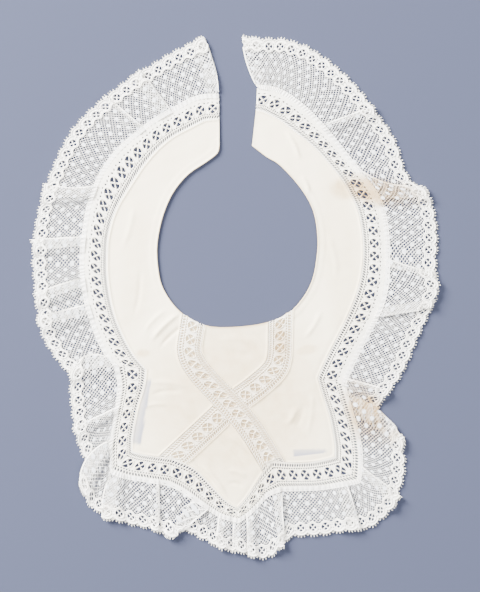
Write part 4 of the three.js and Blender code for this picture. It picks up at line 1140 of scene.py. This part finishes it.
def sheet_faces(rows, height, thickness):
    """A thin closed sheet through rows of points with equal counts, at the height that a function gives."""
    count, wide = rows.shape[:2]
    flat = rows.reshape(-1, 2)
    at = np.arange(count * wide).reshape(count, wide)
    a, b, c, d = at[:-1, :-1], at[:-1, 1:], at[1:, 1:], at[1:, :-1]
    triangles = np.vstack([np.stack([a, b, c], -1).reshape(-1, 3), np.stack([a, c, d], -1).reshape(-1, 3)])
    top = height(flat)
    return slab(flat, triangles, top, top - thickness)


def ruled(first, second, step=1.5):
    """Rows of points from one line to another that has as many points."""
    widest = np.linalg.norm(second - first, axis=1).max()
    share = steps_across(widest, step) / widest
    return first[:, None] + (second - first)[:, None] * share[None, :, None]


def outline_of(rows):
    """The outer line of the rows of points."""
    return np.vstack([rows[0], rows[1:, -1], rows[-1, ::-1], rows[::-1, 0]])


def matched(inner, outer, pairs, step=1.4):
    """Two lines cut into as many steps, matched at the pairs (inner length, outer length, layer)."""
    inner_sums, outer_sums = stations(inner), stations(outer)
    a, b, layers = [], [], []
    for last, pair in zip(pairs, pairs[1:]):
        count = math.ceil(max(pair[0] - last[0], pair[1] - last[1]) / step)
        t = np.linspace(0, 1, count + 1)[(1 if a else 0):]
        a.append(read(inner, inner_sums, last[0] + (pair[0] - last[0]) * t))
        b.append(read(outer, outer_sums, last[1] + (pair[1] - last[1]) * t))
        layers.append(last[2] + (pair[2] - last[2]) * smooth(t))
    return np.vstack(a), np.vstack(b), np.concatenate(layers)


def left_panel_lines():
    """The left panel's inner and outer edges, with how far each row lies over the lining."""
    neck_part = part(NECK_LINE, None, BAND_A["seam_left"])
    upper = cut(BAND_A["seam_left"], crossing(BAND_A["seam_left"], NECK_LINE),
                crossing(BAND_A["seam_left"], BAND_B["seam_left"]))
    lower = cut(BAND_B["seam_left"], crossing(BAND_B["seam_left"], BAND_A["seam_left"]),
                crossing(BAND_B["seam_left"], BATISTE_EDGE))
    inner = np.vstack([neck_part, upper[1:], lower[1:]])
    outer = cut(BATISTE_EDGE, 0, crossing(BATISTE_EDGE, BAND_B["seam_left"]))
    neck_end = stations(neck_part)[-1]
    cross = neck_end + stations(upper)[-1]
    return matched(inner, outer, [
        (0, 0, 0), (38, 40, 0), (100, 124, 0), (neck_end - 15, 171, 0), (neck_end - 2, 188, 1),
        (neck_end, 192, 1), (neck_end + 20, CORNER_SUMS[0], 1), (cross, CORNER_SUMS[0] + 30, 1),
        (cross + 22, CORNER_SUMS[1], 1), (stations(inner)[-1], stations(outer)[-1], 1),
    ])


def right_panel_lines():
    """The right panel's inner and outer edges, with how far each row lies over the lining."""
    lower = cut(BAND_A["seam_right"], crossing(BAND_A["seam_right"], BAND_B["seam_right"]),
                crossing(BAND_A["seam_right"], BATISTE_EDGE))[::-1]
    upper = cut(BAND_B["seam_right"], crossing(BAND_B["seam_right"], NECK_LINE),
                crossing(BAND_B["seam_right"], BAND_A["seam_right"]))[::-1]
    neck_part = part(NECK_LINE, BAND_B["seam_right"], None)
    inner = np.vstack([lower, upper[1:], neck_part[1:]])
    start = crossing(BATISTE_EDGE, BAND_A["seam_right"])
    outer = cut(BATISTE_EDGE, start, math.inf)
    cross = stations(lower)[-1]
    neck_start = cross + stations(upper)[-1]
    inner_end, outer_end = stations(inner)[-1], stations(outer)[-1]
    return matched(inner, outer, [
        (0, 0, 1), (cross - 22, CORNER_SUMS[5] - start, 1), (cross, CORNER_SUMS[6] - start - 26, 1),
        (neck_start - 20, CORNER_SUMS[6] - start, 1), (neck_start, outer_end - 180, 1),
        (neck_start + 2, outer_end - 176, 1), (neck_start + 16, outer_end - 158, 0),
        (inner_end - 96, outer_end - 118, 0), (inner_end - 36, outer_end - 40, 0),
        (inner_end, outer_end, 0),
    ])


CROSSING_GAP = 0.6          # left at the tips of the panels


def neck_inset_rows(steps=26):
    """The small piece of batiste between the bands under the neck edge."""
    a, b = BAND_A["seam_right"], BAND_B["seam_left"]
    left = even(cut(a, crossing(a, NECK_LINE), crossing(a, b) - CROSSING_GAP), steps)
    right = even(cut(b, crossing(b, NECK_LINE), crossing(b, a) - CROSSING_GAP), steps)
    rows = ruled(left, right, step=1.2)
    share = np.linalg.norm(rows[0] - rows[0, 0], axis=1)
    share /= share[-1]
    top = cut(NECK_LINE, crossing(NECK_LINE, a), crossing(NECK_LINE, b))
    sums = stations(top)
    bend = read(top, sums, share * sums[-1]) - rows[0]
    fade = np.clip(1 - np.arange(steps + 1) / (steps * 0.6), 0, 1)
    return rows + bend[None] * fade[:, None, None]


def point_panel_rows():
    """The batiste between the bands and the two borders that meet at the point."""
    a, b = BAND_A["seam_left"], BAND_B["seam_right"]
    left_top = cut(b, crossing(b, a) + CROSSING_GAP, crossing(b, BATISTE_EDGE))
    right_top = cut(a, crossing(a, b) + CROSSING_GAP, crossing(a, BATISTE_EDGE))
    left_low = cut(BATISTE_EDGE, crossing(BATISTE_EDGE, b), CORNER_SUMS[3] - CROSSING_GAP)
    right_low = cut(BATISTE_EDGE, CORNER_SUMS[3] + CROSSING_GAP, crossing(BATISTE_EDGE, a))[::-1]
    left = np.vstack([even(left_top, 20), even(left_low, 30)[1:]])
    right = np.vstack([even(right_top, 20), even(right_low, 30)[1:]])
    return ruled(left, right)


ROLL_AT, ROLL_HALF = 0.45, 0.5   # a rolled seam: how far from the edge, and half its width
NECK_RISE = 0.2             # the turned neck edge stands this much higher, and its stitching makes a ridge
NECK_RIDGE = 0.12


def batiste_height(cloth, outline, layers, neck_side):
    """The height of a batiste panel's top: its rise, folds, rolled seams, turned neck edge and hem line."""

    def height(points):
        """Height of the top at each point."""
        edge = distance_to(outline, points)
        top = rise_of(points, layers) + creased(points) + unevenness(points)
        top += cloth["seam_roll"] * np.exp(-(((edge - ROLL_AT) / ROLL_HALF) ** 2))
        if neck_side:
            neck = distance_to(NECK_LINE, points)
            turned = cloth["neck_turning"]
            top += NECK_RISE * (1 - smooth((neck - turned + 0.5) / 0.7))
            top += NECK_RIDGE * np.exp(-(((neck - turned - 0.2) / 0.55) ** 2))
        return top

    return height


def lining_rows():
    """Rows of points over the lining, from its lower edge to its upper edge."""
    top = curve([row[:2] for row in LINING], 3)
    bottom = curve([row[2:] for row in LINING], 3)
    return ruled(bottom, top, step=3.0)


STITCH_THREAD = 0.42
STITCH_ARCH = 0.28          # how far a stitch's middle stands above its ends


def whipping(line, away, stitch, from_height, to_height):
    """Small slanted stitches along a seam: from the line to another line with as many points."""
    sums = stations(line)
    s = np.arange(stitch / 2, sums[-1], stitch)
    start = read(line, sums, s - stitch * 0.2)
    stop = read(away, sums, s + stitch * 0.25)
    middle = (start + stop) / 2
    arch = max(from_height, to_height) + STITCH_ARCH
    points = ((start, from_height), (middle, arch), (stop, to_height))
    paths = np.stack([np.column_stack([at, np.full(len(s), height)]) for at, height in points], axis=1)
    return tubes(paths, STITCH_THREAD)


# ---------------------------------------------------------------- making the pieces

PLACE = np.array([0.0029, 0.7527])   # from the tables' origin to the middle of the part
WOVEN_SHARP = 50           # degrees: past these an edge stays sharp, in woven cloth and in lace
LACE_SHARP = 35
LINING_TOP = 0.24          # height of the lining's top, and its thickness
LINING_THICKNESS = 0.2
END_GAP = 0.05             # how far from the edging's ends its pattern stops
STITCH_TONE = 0.9          # how close and white a stitch's thread looks, beside lace at 0.5
ARM_FLOWER = 7.3           # how far across the insertion its flowers are, on the arms and elsewhere
BAND_FLOWER = 7.5
INSERTION_GAP = 0.02       # how far from an insertion's ends its pattern stops
NECK_SHADE_REACH = 0.45           # how far from the neck edge its painted shade reaches
# The stitches of the seams: how far they reach, and the heights they go from and to.
BORDER_STITCH = (0.75, 0.55, 0.6)
BAND_STITCH = (0.7, 0.95, 1.1)
STAIN_CORE, STAIN_FADE = 0.45, 0.85   # shares of a stain's size: even up to the first, then fading out


def stained(points):
    """How yellow the cotton is at each point."""
    total = np.zeros(len(points))
    for x, y, half_a, half_b, turn, strength in STAINS:
        c, s = math.cos(math.radians(turn)), math.sin(math.radians(turn))
        dx, dy = points[:, 0] - x, points[:, 1] - y
        far = np.hypot((dx * c + dy * s) / half_a, (dy * c - dx * s) / half_b)
        total = np.maximum(total, strength * (1 - smooth((far - STAIN_CORE) / STAIN_FADE)))
    return total


STRIP_START = 0.45          # a strip's width where it starts, beside the width where it ends
STRIP_ENDS = (12, 25)       # it fades in over a twelfth of its length, and out over a twenty-fifth
STRIP_SIDES = (0.6, 1.0)    # the lengths in which it fades at its near and far sides
STRIP_FAINTER = 0.4         # how much fainter it is at its far side


def unlined(points):
    """How much grey is painted on the batiste at each point, for the dark floor seen through one layer where
    the lining stops short.
    """
    thin = np.zeros(len(points))
    for x1, y1, x2, y2, width in LINING_ENDS:
        start, run = np.array([x1, y1]), np.array([x2 - x1, y2 - y1], float)
        along = (points - start) @ run / (run @ run)
        across = (points - start) @ unit(np.array([run[1], -run[0]]))
        within = smooth(along * STRIP_ENDS[0]) * smooth((1 - along) * STRIP_ENDS[1])
        far = width * (STRIP_START + (1 - STRIP_START) * np.clip(along, 0, 1))
        strip = smooth(across / STRIP_SIDES[0]) * (1 - smooth((across - far) / STRIP_SIDES[1]))
        strip *= 1 - STRIP_FAINTER * np.clip(across / far, 0, 1)
        thin = np.maximum(thin, within * strip)
    return thin


def dress(name, faces, material, extra, smooth_to=LACE_SHARP):
    """A named piece from its faces in millimetres, in place of the frame's node of that name."""
    points = (faces.points + np.append(PLACE, 0)) / 1000
    mesh = bpy.data.meshes.new(name)
    mesh.vertices.add(len(points))
    mesh.vertices.foreach_set("co", points.astype(np.float32).ravel())
    mesh.loops.add(faces.triangles.size)
    mesh.loops.foreach_set("vertex_index", faces.triangles.astype(np.int32).ravel())
    mesh.polygons.add(len(faces.triangles))
    mesh.polygons.foreach_set("loop_start", np.arange(0, faces.triangles.size, 3, dtype=np.int32))
    mesh.update(calc_edges=True)
    mesh.shade_smooth()
    mesh.set_sharp_from_angle(angle=math.radians(smooth_to))
    for label, value in {"stain": stained(faces.points), **extra}.items():
        layer = mesh.attributes.new(label, "FLOAT", "POINT")
        layer.data.foreach_set("value", np.asarray(value, np.float32))
    mesh.materials.append(material)
    piece = bpy.data.objects.new(name + "_cloth", mesh)
    bpy.context.scene.collection.objects.link(piece)
    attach(piece, "root")
    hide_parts(name)
    return piece


def sizes(name):
    """One group's sizes, in millimetres."""
    group = getattr(bpy.context.scene, name)
    return {key: getattr(group, key) * 1000 for key in GROUPS[name].__annotations__}


def edging_piece(name, lace):
    """One length of the gathered edging: its faces, and how close and how thin the cloth is at each point."""
    p = lace["repeat"]
    surface = EdgingSurface(lace)
    count = round(EDGING_TRAVEL[-1] / p)
    scale = EDGING_TRAVEL[-1] / (count * p)
    start, stop = EDGING_SHARES[name]
    places = (np.arange(count) + 0.5) * p
    places = places[(places * scale >= start) & (places * scale < stop)]
    in_a_row = np.column_stack([places, np.zeros(len(places))])
    border_cell, border_threads = scalloped_border(lace)
    bottom = -lace["cloth_thickness"] / 2
    rows = [(places + (p / 4 if k % 2 else -p / 4), y) for k, y in enumerate(SPOT_ROWS)]
    spots = np.vstack([np.column_stack([at, np.full(len(at), y)]) for at, y in rows])
    spots = spots[surface.share(spots[:, 0] * scale, spots[:, 1]) < SPOT_LIMIT]
    folds = surface.folds(start, stop)
    # Faces, how much they are stretched to fit the whole length, tone, thinness, surface.
    parts = [
        (row_of(border_cell, places, bottom), scale, 0.5, 0.0, surface),
        (repeated(border_threads, in_a_row), scale, 1.0, 0.0, surface),
        (repeated(spot_shape(lace), spots), scale, 0.0, 1.0, surface),
        (row_of(footing_cell(lace), places, bottom), scale, 0.5, 0.0, surface.footing),
        (net_threads(lace, start, stop), 1.0, 0.35, 0.0, surface),
    ]
    if len(folds):
        parts.append((tubes(folds, lace["fold_thread"]), 1.0, 1.0, 0.0, surface))
    made, tone, thin = [], [], []
    for piece, stretch, piece_tone, piece_thin, where in parts:
        along = piece.points[:, 0] * stretch
        piece.points[:, 0] = np.clip(along, END_GAP, EDGING_TRAVEL[-1] - END_GAP)
        made.append(bent(piece, where))
        tone.append(np.full(len(piece.points), piece_tone))
        thin.append(np.full(len(piece.points), piece_thin))
    return together(made), {"tone": np.concatenate(tone), "spot": np.concatenate(thin)}


def insertion_piece(lace, surface, length, outer, centre):
    """One stretch of insertion on its surface, with a whole number of repeats."""
    p = lace["repeat"]
    count = max(1, round(length / p))
    places = (np.arange(count) + 0.5) * p
    slab_part = row_of(insertion_cell(lace, outer, centre), places, -lace["cloth_thickness"] / 2)
    threads = repeated(flower_threads(lace, outer, centre), np.column_stack([places, np.zeros(count)]))
    tone = np.concatenate([np.full(len(slab_part.points), 0.5), np.full(len(threads.points), 1.0)])
    flat = together([slab_part, threads])
    flat.points[:, 0] = np.clip(flat.points[:, 0] * length / (count * p), INSERTION_GAP,
                                length - INSERTION_GAP)
    return bent(flat, surface), {"tone": tone, "spot": np.zeros(len(tone))}


# ---------------------------------------------------------------- materials

MIX_FACTOR, MIX_FIRST, MIX_SECOND, MIX_RESULT = 0, 6, 7, 2   # a Mix node's sockets for colours
WAVE_PERIOD = 0.31416      # a wave texture's period at scale 1, in metres


def add(tree, kind, settings=None, links=None):
    """A node with its settings, and its inputs linked to other nodes' outputs.

    A key is the name of an input or of a setting, or an input's number.
    """
    node = tree.nodes.new(kind)
    for key, value in (settings or {}).items():
        if isinstance(key, int) or key in node.inputs:
            node.inputs[key].default_value = value
        else:
            setattr(node, key, value)
    for key, source in (links or {}).items():
        tree.links.new(source, node.inputs[key])
    return node


def new_material(name):
    """An empty material, its nodes, and the place that its patterns are read at."""
    material = bpy.data.materials.new(name)
    material.use_nodes = True
    tree = material.node_tree
    tree.nodes.clear()
    return material, tree, add(tree, "ShaderNodeTexCoord").outputs["Object"]


def tinted(tree, base, tints):
    """The base colour under its tints, each a source, the share of it that is taken and a colour."""
    body = add(tree, "ShaderNodeRGB").outputs["Color"]
    body.default_value = (*base, 1.0)
    for source, strength, colour in tints:
        share = add(tree, "ShaderNodeMath", {"operation": "MULTIPLY", 1: strength}, {0: source})
        mix = add(tree, "ShaderNodeMix",
                  {"data_type": "RGBA", "clamp_factor": True, MIX_SECOND: (*colour, 1.0)},
                  {MIX_FACTOR: share.outputs["Value"], MIX_FIRST: body})
        body = mix.outputs[MIX_RESULT]
    return body


def ageing(tree, where, colour, yellow):
    """The tints of old cotton: its faint unevenness and the places that have yellowed."""
    # Clouds about 25 mm across: old cotton is never one even white.
    clouds = add(tree, "ShaderNodeTexNoise", {"Scale": 40.0, "Detail": 3.0}, {"Vector": where})
    shade = add(tree, "ShaderNodeMath", {"operation": "SUBTRACT", "use_clamp": True, 1: 0.45},
                {0: clouds.outputs["Fac"]})
    # The stain's edge is broken up by spots about 6 mm across.
    spots = add(tree, "ShaderNodeTexNoise", {"Scale": 160.0, "Detail": 4.0}, {"Vector": where})
    lifted = add(tree, "ShaderNodeMath", {"operation": "ADD", 1: 0.5}, {0: spots.outputs["Fac"]})
    stain = add(tree, "ShaderNodeAttribute", {"attribute_name": "stain"})
    broken = add(tree, "ShaderNodeMath", {"operation": "MULTIPLY", "use_clamp": True},
                 {0: stain.outputs["Fac"], 1: lifted.outputs["Value"]})
    creamy = tuple(0.6 * c + 0.4 * y for c, y in zip(colour, yellow))
    return [(shade.outputs["Value"], 0.55, creamy), (broken.outputs["Value"], 0.9, yellow)]


def finished(material, body, bump, settings):
    """The material with its shader: the colour, the relief and the shader's own settings."""
    tree = material.node_tree
    links = {"Base Color": body}
    if bump:
        links["Normal"] = bump.outputs["Normal"]
    shader = add(tree, "ShaderNodeBsdfPrincipled", settings, links)
    add(tree, "ShaderNodeOutputMaterial", {}, {"Surface": shader.outputs["BSDF"]})
    return material


def woven_cotton(name, colour, yellow, spacing):
    """Fine plain-woven cotton, washed and pressed: matt, with a faint grid of threads and soft fibres."""
    material, tree, where = new_material(name)
    # Real batiste has about 40 threads to a centimetre, too fine to show, so they are drawn coarser.
    threads = []
    for direction in ("X", "Y"):
        shape = {"Scale": WAVE_PERIOD / spacing, "Distortion": 0.6, "Detail": 2.0}
        wave = add(tree, "ShaderNodeTexWave", {**shape, "bands_direction": direction}, {"Vector": where})
        threads.append(wave.outputs["Fac"])
    weave = add(tree, "ShaderNodeMath", {"operation": "MULTIPLY"}, {0: threads[0], 1: threads[1]})
    slub = add(tree, "ShaderNodeTexNoise", {"Scale": 900.0, "Detail": 2.0}, {"Vector": where})
    relief = add(tree, "ShaderNodeMath", {"operation": "ADD"},
                 {0: weave.outputs["Value"], 1: slub.outputs["Fac"]}).outputs["Value"]
    thin = add(tree, "ShaderNodeAttribute", {"attribute_name": "thin"})
    edge = add(tree, "ShaderNodeAttribute", {"attribute_name": "edge"})
    body = tinted(tree, colour, [
        *ageing(tree, where, colour, yellow),
        (relief, 0.09, linear("#D9D2C6")),                   # the shade between the threads
        (thin.outputs["Fac"], 0.95, linear("#858A9C")),      # painted grey for the dark floor seen through one layer of cloth
        (edge.outputs["Fac"], 0.7, linear("#C7A878")),       # painted shade along the rolled neck edge
    ])
    bump = add(tree, "ShaderNodeBump", {"Strength": 0.25, "Distance": 0.00008}, {"Height": relief})
    return finished(material, body, bump, {"Roughness": 0.85, "Sheen Weight": 0.15, "Sheen Roughness": 0.4,
                                           "IOR": 1.45, "Specular IOR Level": 0.25})


def lace_cotton(name, colour, spot_colour, yellow):
    """Machine lace of fine cotton thread: matt, close parts whiter than the net, with thread-sized grain."""
    material, tree, where = new_material(name)
    tone = add(tree, "ShaderNodeAttribute", {"attribute_name": "tone"})
    spot = add(tree, "ShaderNodeAttribute", {"attribute_name": "spot"})
    sparse = add(tree, "ShaderNodeMath", {"operation": "SUBTRACT", "use_clamp": True, 0: 0.6},
                 {1: tone.outputs["Fac"]})
    # Threads lie about 0.4 mm apart in the close parts, so the grain is of that size.
    grain = add(tree, "ShaderNodeTexVoronoi", {"Scale": 2400.0}, {"Vector": where}).outputs["Distance"]
    body = tinted(tree, colour, [
        *ageing(tree, where, colour, yellow),
        (sparse.outputs["Value"], 1.0, linear("#E2E3E8")),   # single threads look greyer than close ones
        (spot.outputs["Fac"], 0.8, spot_colour),
        (grain, 0.14, linear("#BFC0C6")),                    # the shade between the threads
    ])
    bump = add(tree, "ShaderNodeBump", {"Strength": 0.5, "Distance": 0.00012}, {"Height": grain})
    return finished(material, body, bump, {"Roughness": 0.88, "Sheen Weight": 0.12, "Sheen Roughness": 0.45,
                                           "IOR": 1.45, "Specular IOR Level": 0.2})


def painted_board(name, colour):
    """Matt paint on a smooth board: plain, with the faintest tooth of the roller."""
    material, tree, where = new_material(name)
    tooth = add(tree, "ShaderNodeTexNoise", {"Scale": 220.0, "Detail": 4.0}, {"Vector": where})
    body = tinted(tree, colour, [(tooth.outputs["Fac"], 0.12, linear("#3A3E4F"))])
    return finished(material, body, None, {"Roughness": 0.9, "Specular IOR Level": 0.15})


# ---------------------------------------------------------------- operators

FLOOR_PLACE = (0, 0, -0.0005)            # metres: just under the lowest thread
VIEW_CENTRE = (0.0029, 0.0009, 0.0)
WORLD_STRENGTH = 0.85
LAMPS = (                                # name, place in metres, watts, side beside the stage's softness
    # The key comes low from beside the back opening, so that folds and seams show their relief.
    ("key", (-1.55, 1.25, 1.0), 500.0, 1.0),
    ("fill", (1.4, -0.5, 1.8), 68.0, 1.6),
    ("top", (0.0, 0.0, 2.6), 44.0, 1.6),
)


def batiste_piece(name, rows, layers, neck_side, material):
    """One batiste panel from its rows of points, a sheet that lies on the lining."""
    cloth = sizes("collar_cloth")
    outline = outline_of(rows)
    height = batiste_height(cloth, outline, np.repeat(layers, rows.shape[1]), neck_side)
    faces = sheet_faces(rows, height, cloth["thickness"])
    flat = rows.reshape(-1, 2)
    # A tan rim is painted along the neck edge for the shade of its rolled edge.
    edge = np.exp(-((distance_to(NECK_LINE, flat) / NECK_SHADE_REACH) ** 2)) if neck_side else np.zeros(len(flat))
    # The grey strips where the lining stops short are painted, for the dark floor seen through one layer.
    values = {"thin": np.tile(unlined(flat), 2), "edge": np.tile(edge, 2)}
    piece = dress(name, faces, material, values, WOVEN_SHARP)


def sewn_insertion(name, made, seams, material):
    """One length of insertion with the stitches along its seams."""
    faces, values = made
    stitches = together(seams)
    values["tone"] = np.concatenate([values["tone"], np.full(len(stitches.points), STITCH_TONE)])
    values["spot"] = np.concatenate([values["spot"], np.zeros(len(stitches.points))])
    piece = dress(name, together([faces, stitches]), material, values)
    sizes("collar_lace")["insertion_width"]


class COLLAR_OT_lining(bpy.types.Operator):
    """Makes the plain lining under the yoke"""

    bl_idname = "collar.lining"
    bl_label = "Yoke lining"

    def execute(self, context):
        tone, cloth = context.scene.collar_colours, context.scene.collar_cloth
        material = woven_cotton("woven_cotton_lining", tone.lining, tone.yellowed, cloth.thread_spacing * 1.5)
        rows = lining_rows()
        faces = sheet_faces(rows, lambda points: np.full(len(points), LINING_TOP), LINING_THICKNESS)
        none = np.zeros(len(faces.points))
        piece = dress("yoke_lining", faces, material, {"thin": none, "edge": none}, WOVEN_SHARP)
        return {"FINISHED"}


class COLLAR_OT_batiste(bpy.types.Operator):
    """Makes the four panels of cream batiste"""

    bl_idname = "collar.batiste"
    bl_label = "Batiste panels"

    def execute(self, context):
        tone, cloth = context.scene.collar_colours, context.scene.collar_cloth
        material = woven_cotton("woven_cotton_batiste", tone.batiste, tone.yellowed, cloth.thread_spacing)
        for name, (inner, outer, layers) in (("panel_left", left_panel_lines()),
                                             ("panel_right", right_panel_lines())):
            batiste_piece(name, ruled(inner, outer), layers, True, material)
        for name, rows in (("panel_neck", neck_inset_rows()), ("panel_point", point_panel_rows())):
            batiste_piece(name, rows, np.ones(len(rows)), name == "panel_neck", material)
        return {"FINISHED"}


class COLLAR_OT_insertion(bpy.types.Operator):
    """Makes the insertion lace round the batiste and the two bands that cross on the yoke"""

    bl_idname = "collar.insertion"
    bl_label = "Insertion lace"

    def execute(self, context):
        lace, stitch = sizes("collar_lace"), sizes("collar_cloth")["stitch"]
        width, tone = lace["insertion_width"], context.scene.collar_colours
        material = lace_cotton("machine_lace_insertion", tone.insertion, tone.spots, tone.yellowed)
        for seam, (name, rows) in zip(CLOTH_LINES, BORDERS.items()):
            surface, length = border_surface(rows, width)
            arm = name.endswith("arm")
            made = insertion_piece(lace, surface, length, not arm, ARM_FLOWER if arm else BAND_FLOWER)
            reach, low, high = BORDER_STITCH
            stitches = whipping(seam, offset(seam, reach), stitch, low, high)
            sewn_insertion(name, made, [stitches], material)
        for name, lines, start, stop, lift in (
            ("band_from_left", BAND_A, NECK_LINE, BATISTE_EDGE, 0.12),
            ("band_from_right_upper", BAND_B, NECK_LINE, BAND_A["seam_right"], 0.02),
            ("band_from_right_lower", BAND_B, BAND_A["seam_left"], BATISTE_EDGE, 0.02),
        ):
            surface, length = band_surface(lines, start, stop, width, lift)
            made = insertion_piece(lace, surface, length, True, BAND_FLOWER)
            reach, low, high = BAND_STITCH
            stitches = []
            for side, away in (("right", reach), ("left", -reach)):
                line = even(part(lines[side], start, stop), 60)
                stitches.append(whipping(line, offset(line, away), stitch, low, high))
            sewn_insertion(name, made, stitches, material)
        return {"FINISHED"}


class COLLAR_OT_edging(bpy.types.Operator):
    """Makes the gathered edging in its nine lengths"""

    bl_idname = "collar.edging"
    bl_label = "Gathered edging"

    def execute(self, context):
        lace, tone = sizes("collar_lace"), context.scene.collar_colours
        material = lace_cotton("machine_lace_edging", tone.edging, tone.spots, tone.yellowed)
        for name, (start, stop) in EDGING_SHARES.items():
            faces, values = edging_piece(name, lace)
            piece = dress(name, faces, material, values)
        return {"FINISHED"}


class COLLAR_OT_stage(bpy.types.Operator):
    """Sets the floor, the soft lights and the camera straight above"""

    bl_idname = "collar.stage"
    bl_label = "Stage"

    def execute(self, context):
        size = context.scene.collar_stage
        bpy.ops.object.select_all(action="DESELECT")
        bpy.ops.mesh.primitive_grid_add(x_subdivisions=4, y_subdivisions=4, size=4.0, location=FLOOR_PLACE)
        floor = context.object
        floor.name = "floor"
        bpy.ops.object.transform_apply(location=True)
        floor.data.materials.append(painted_board("matt_painted_floor", context.scene.collar_colours.floor))
        centre = Vector(VIEW_CENTRE)
        for name, place, power, side in LAMPS:
            light = bpy.data.lights.new(name, "AREA")
            light.energy = power
            light.size = size.softness * side
            lamp = bpy.data.objects.new(name, light)
            lamp.location = place
            lamp.rotation_euler = (centre - Vector(place)).to_track_quat("-Z", "Y").to_euler()
            context.scene.collection.objects.link(lamp)
        world = bpy.data.worlds.new("studio")
        world.use_nodes = True
        background = world.node_tree.nodes["Background"]
        background.inputs["Color"].default_value = (1.0, 1.0, 1.0, 1.0)
        background.inputs["Strength"].default_value = WORLD_STRENGTH
        context.scene.world = world
        lens = bpy.data.cameras.new("camera")
        lens.sensor_fit = "VERTICAL"
        lens.angle_y = 2 * math.atan(size.view_height / 2 / size.camera_height)
        lens.clip_start = 0.01
        camera = bpy.data.objects.new("camera", lens)
        camera.location = (centre.x, centre.y, size.camera_height)
        context.scene.collection.objects.link(camera)
        context.scene.camera = camera
        return {"FINISHED"}


class COLLAR_PT_pieces(bpy.types.Panel):
    """Lists the collar's pieces and sizes"""

    bl_idname = "COLLAR_PT_pieces"
    bl_label = "Lace collar"
    bl_space_type = "VIEW_3D"
    bl_region_type = "UI"
    bl_category = "Collar"

    def draw(self, context):
        for operator in OPERATORS:
            self.layout.operator(operator.bl_idname)
        for name, group in GROUPS.items():
            for key in group.__annotations__:
                self.layout.prop(getattr(context.scene, name), key)


OPERATORS = (
    COLLAR_OT_lining, COLLAR_OT_batiste, COLLAR_OT_insertion, COLLAR_OT_edging, COLLAR_OT_stage,
)
GROUPS = {
    "collar_lace": CollarLace, "collar_cloth": CollarCloth,
    "collar_colours": CollarColours, "collar_stage": CollarStage,
}


def register():
    """Registers the classes, and puts the groups of sizes and colours on the scene."""
    for kind in (*GROUPS.values(), *OPERATORS, COLLAR_PT_pieces):
        bpy.utils.register_class(kind)
    for name, group in GROUPS.items():
        setattr(bpy.types.Scene, name, bpy.props.PointerProperty(type=group))


def unregister():
    """Takes away what register put there."""
    for name in GROUPS:
        delattr(bpy.types.Scene, name)
    for kind in reversed((*GROUPS.values(), *OPERATORS, COLLAR_PT_pieces)):
        bpy.utils.unregister_class(kind)


def main():
    """Makes every piece and the stage."""
    register()
    bpy.ops.collar.lining()
    bpy.ops.collar.batiste()
    bpy.ops.collar.insertion()
    bpy.ops.collar.edging()
    bpy.ops.collar.stage()


if __name__ == "__main__":
    main()
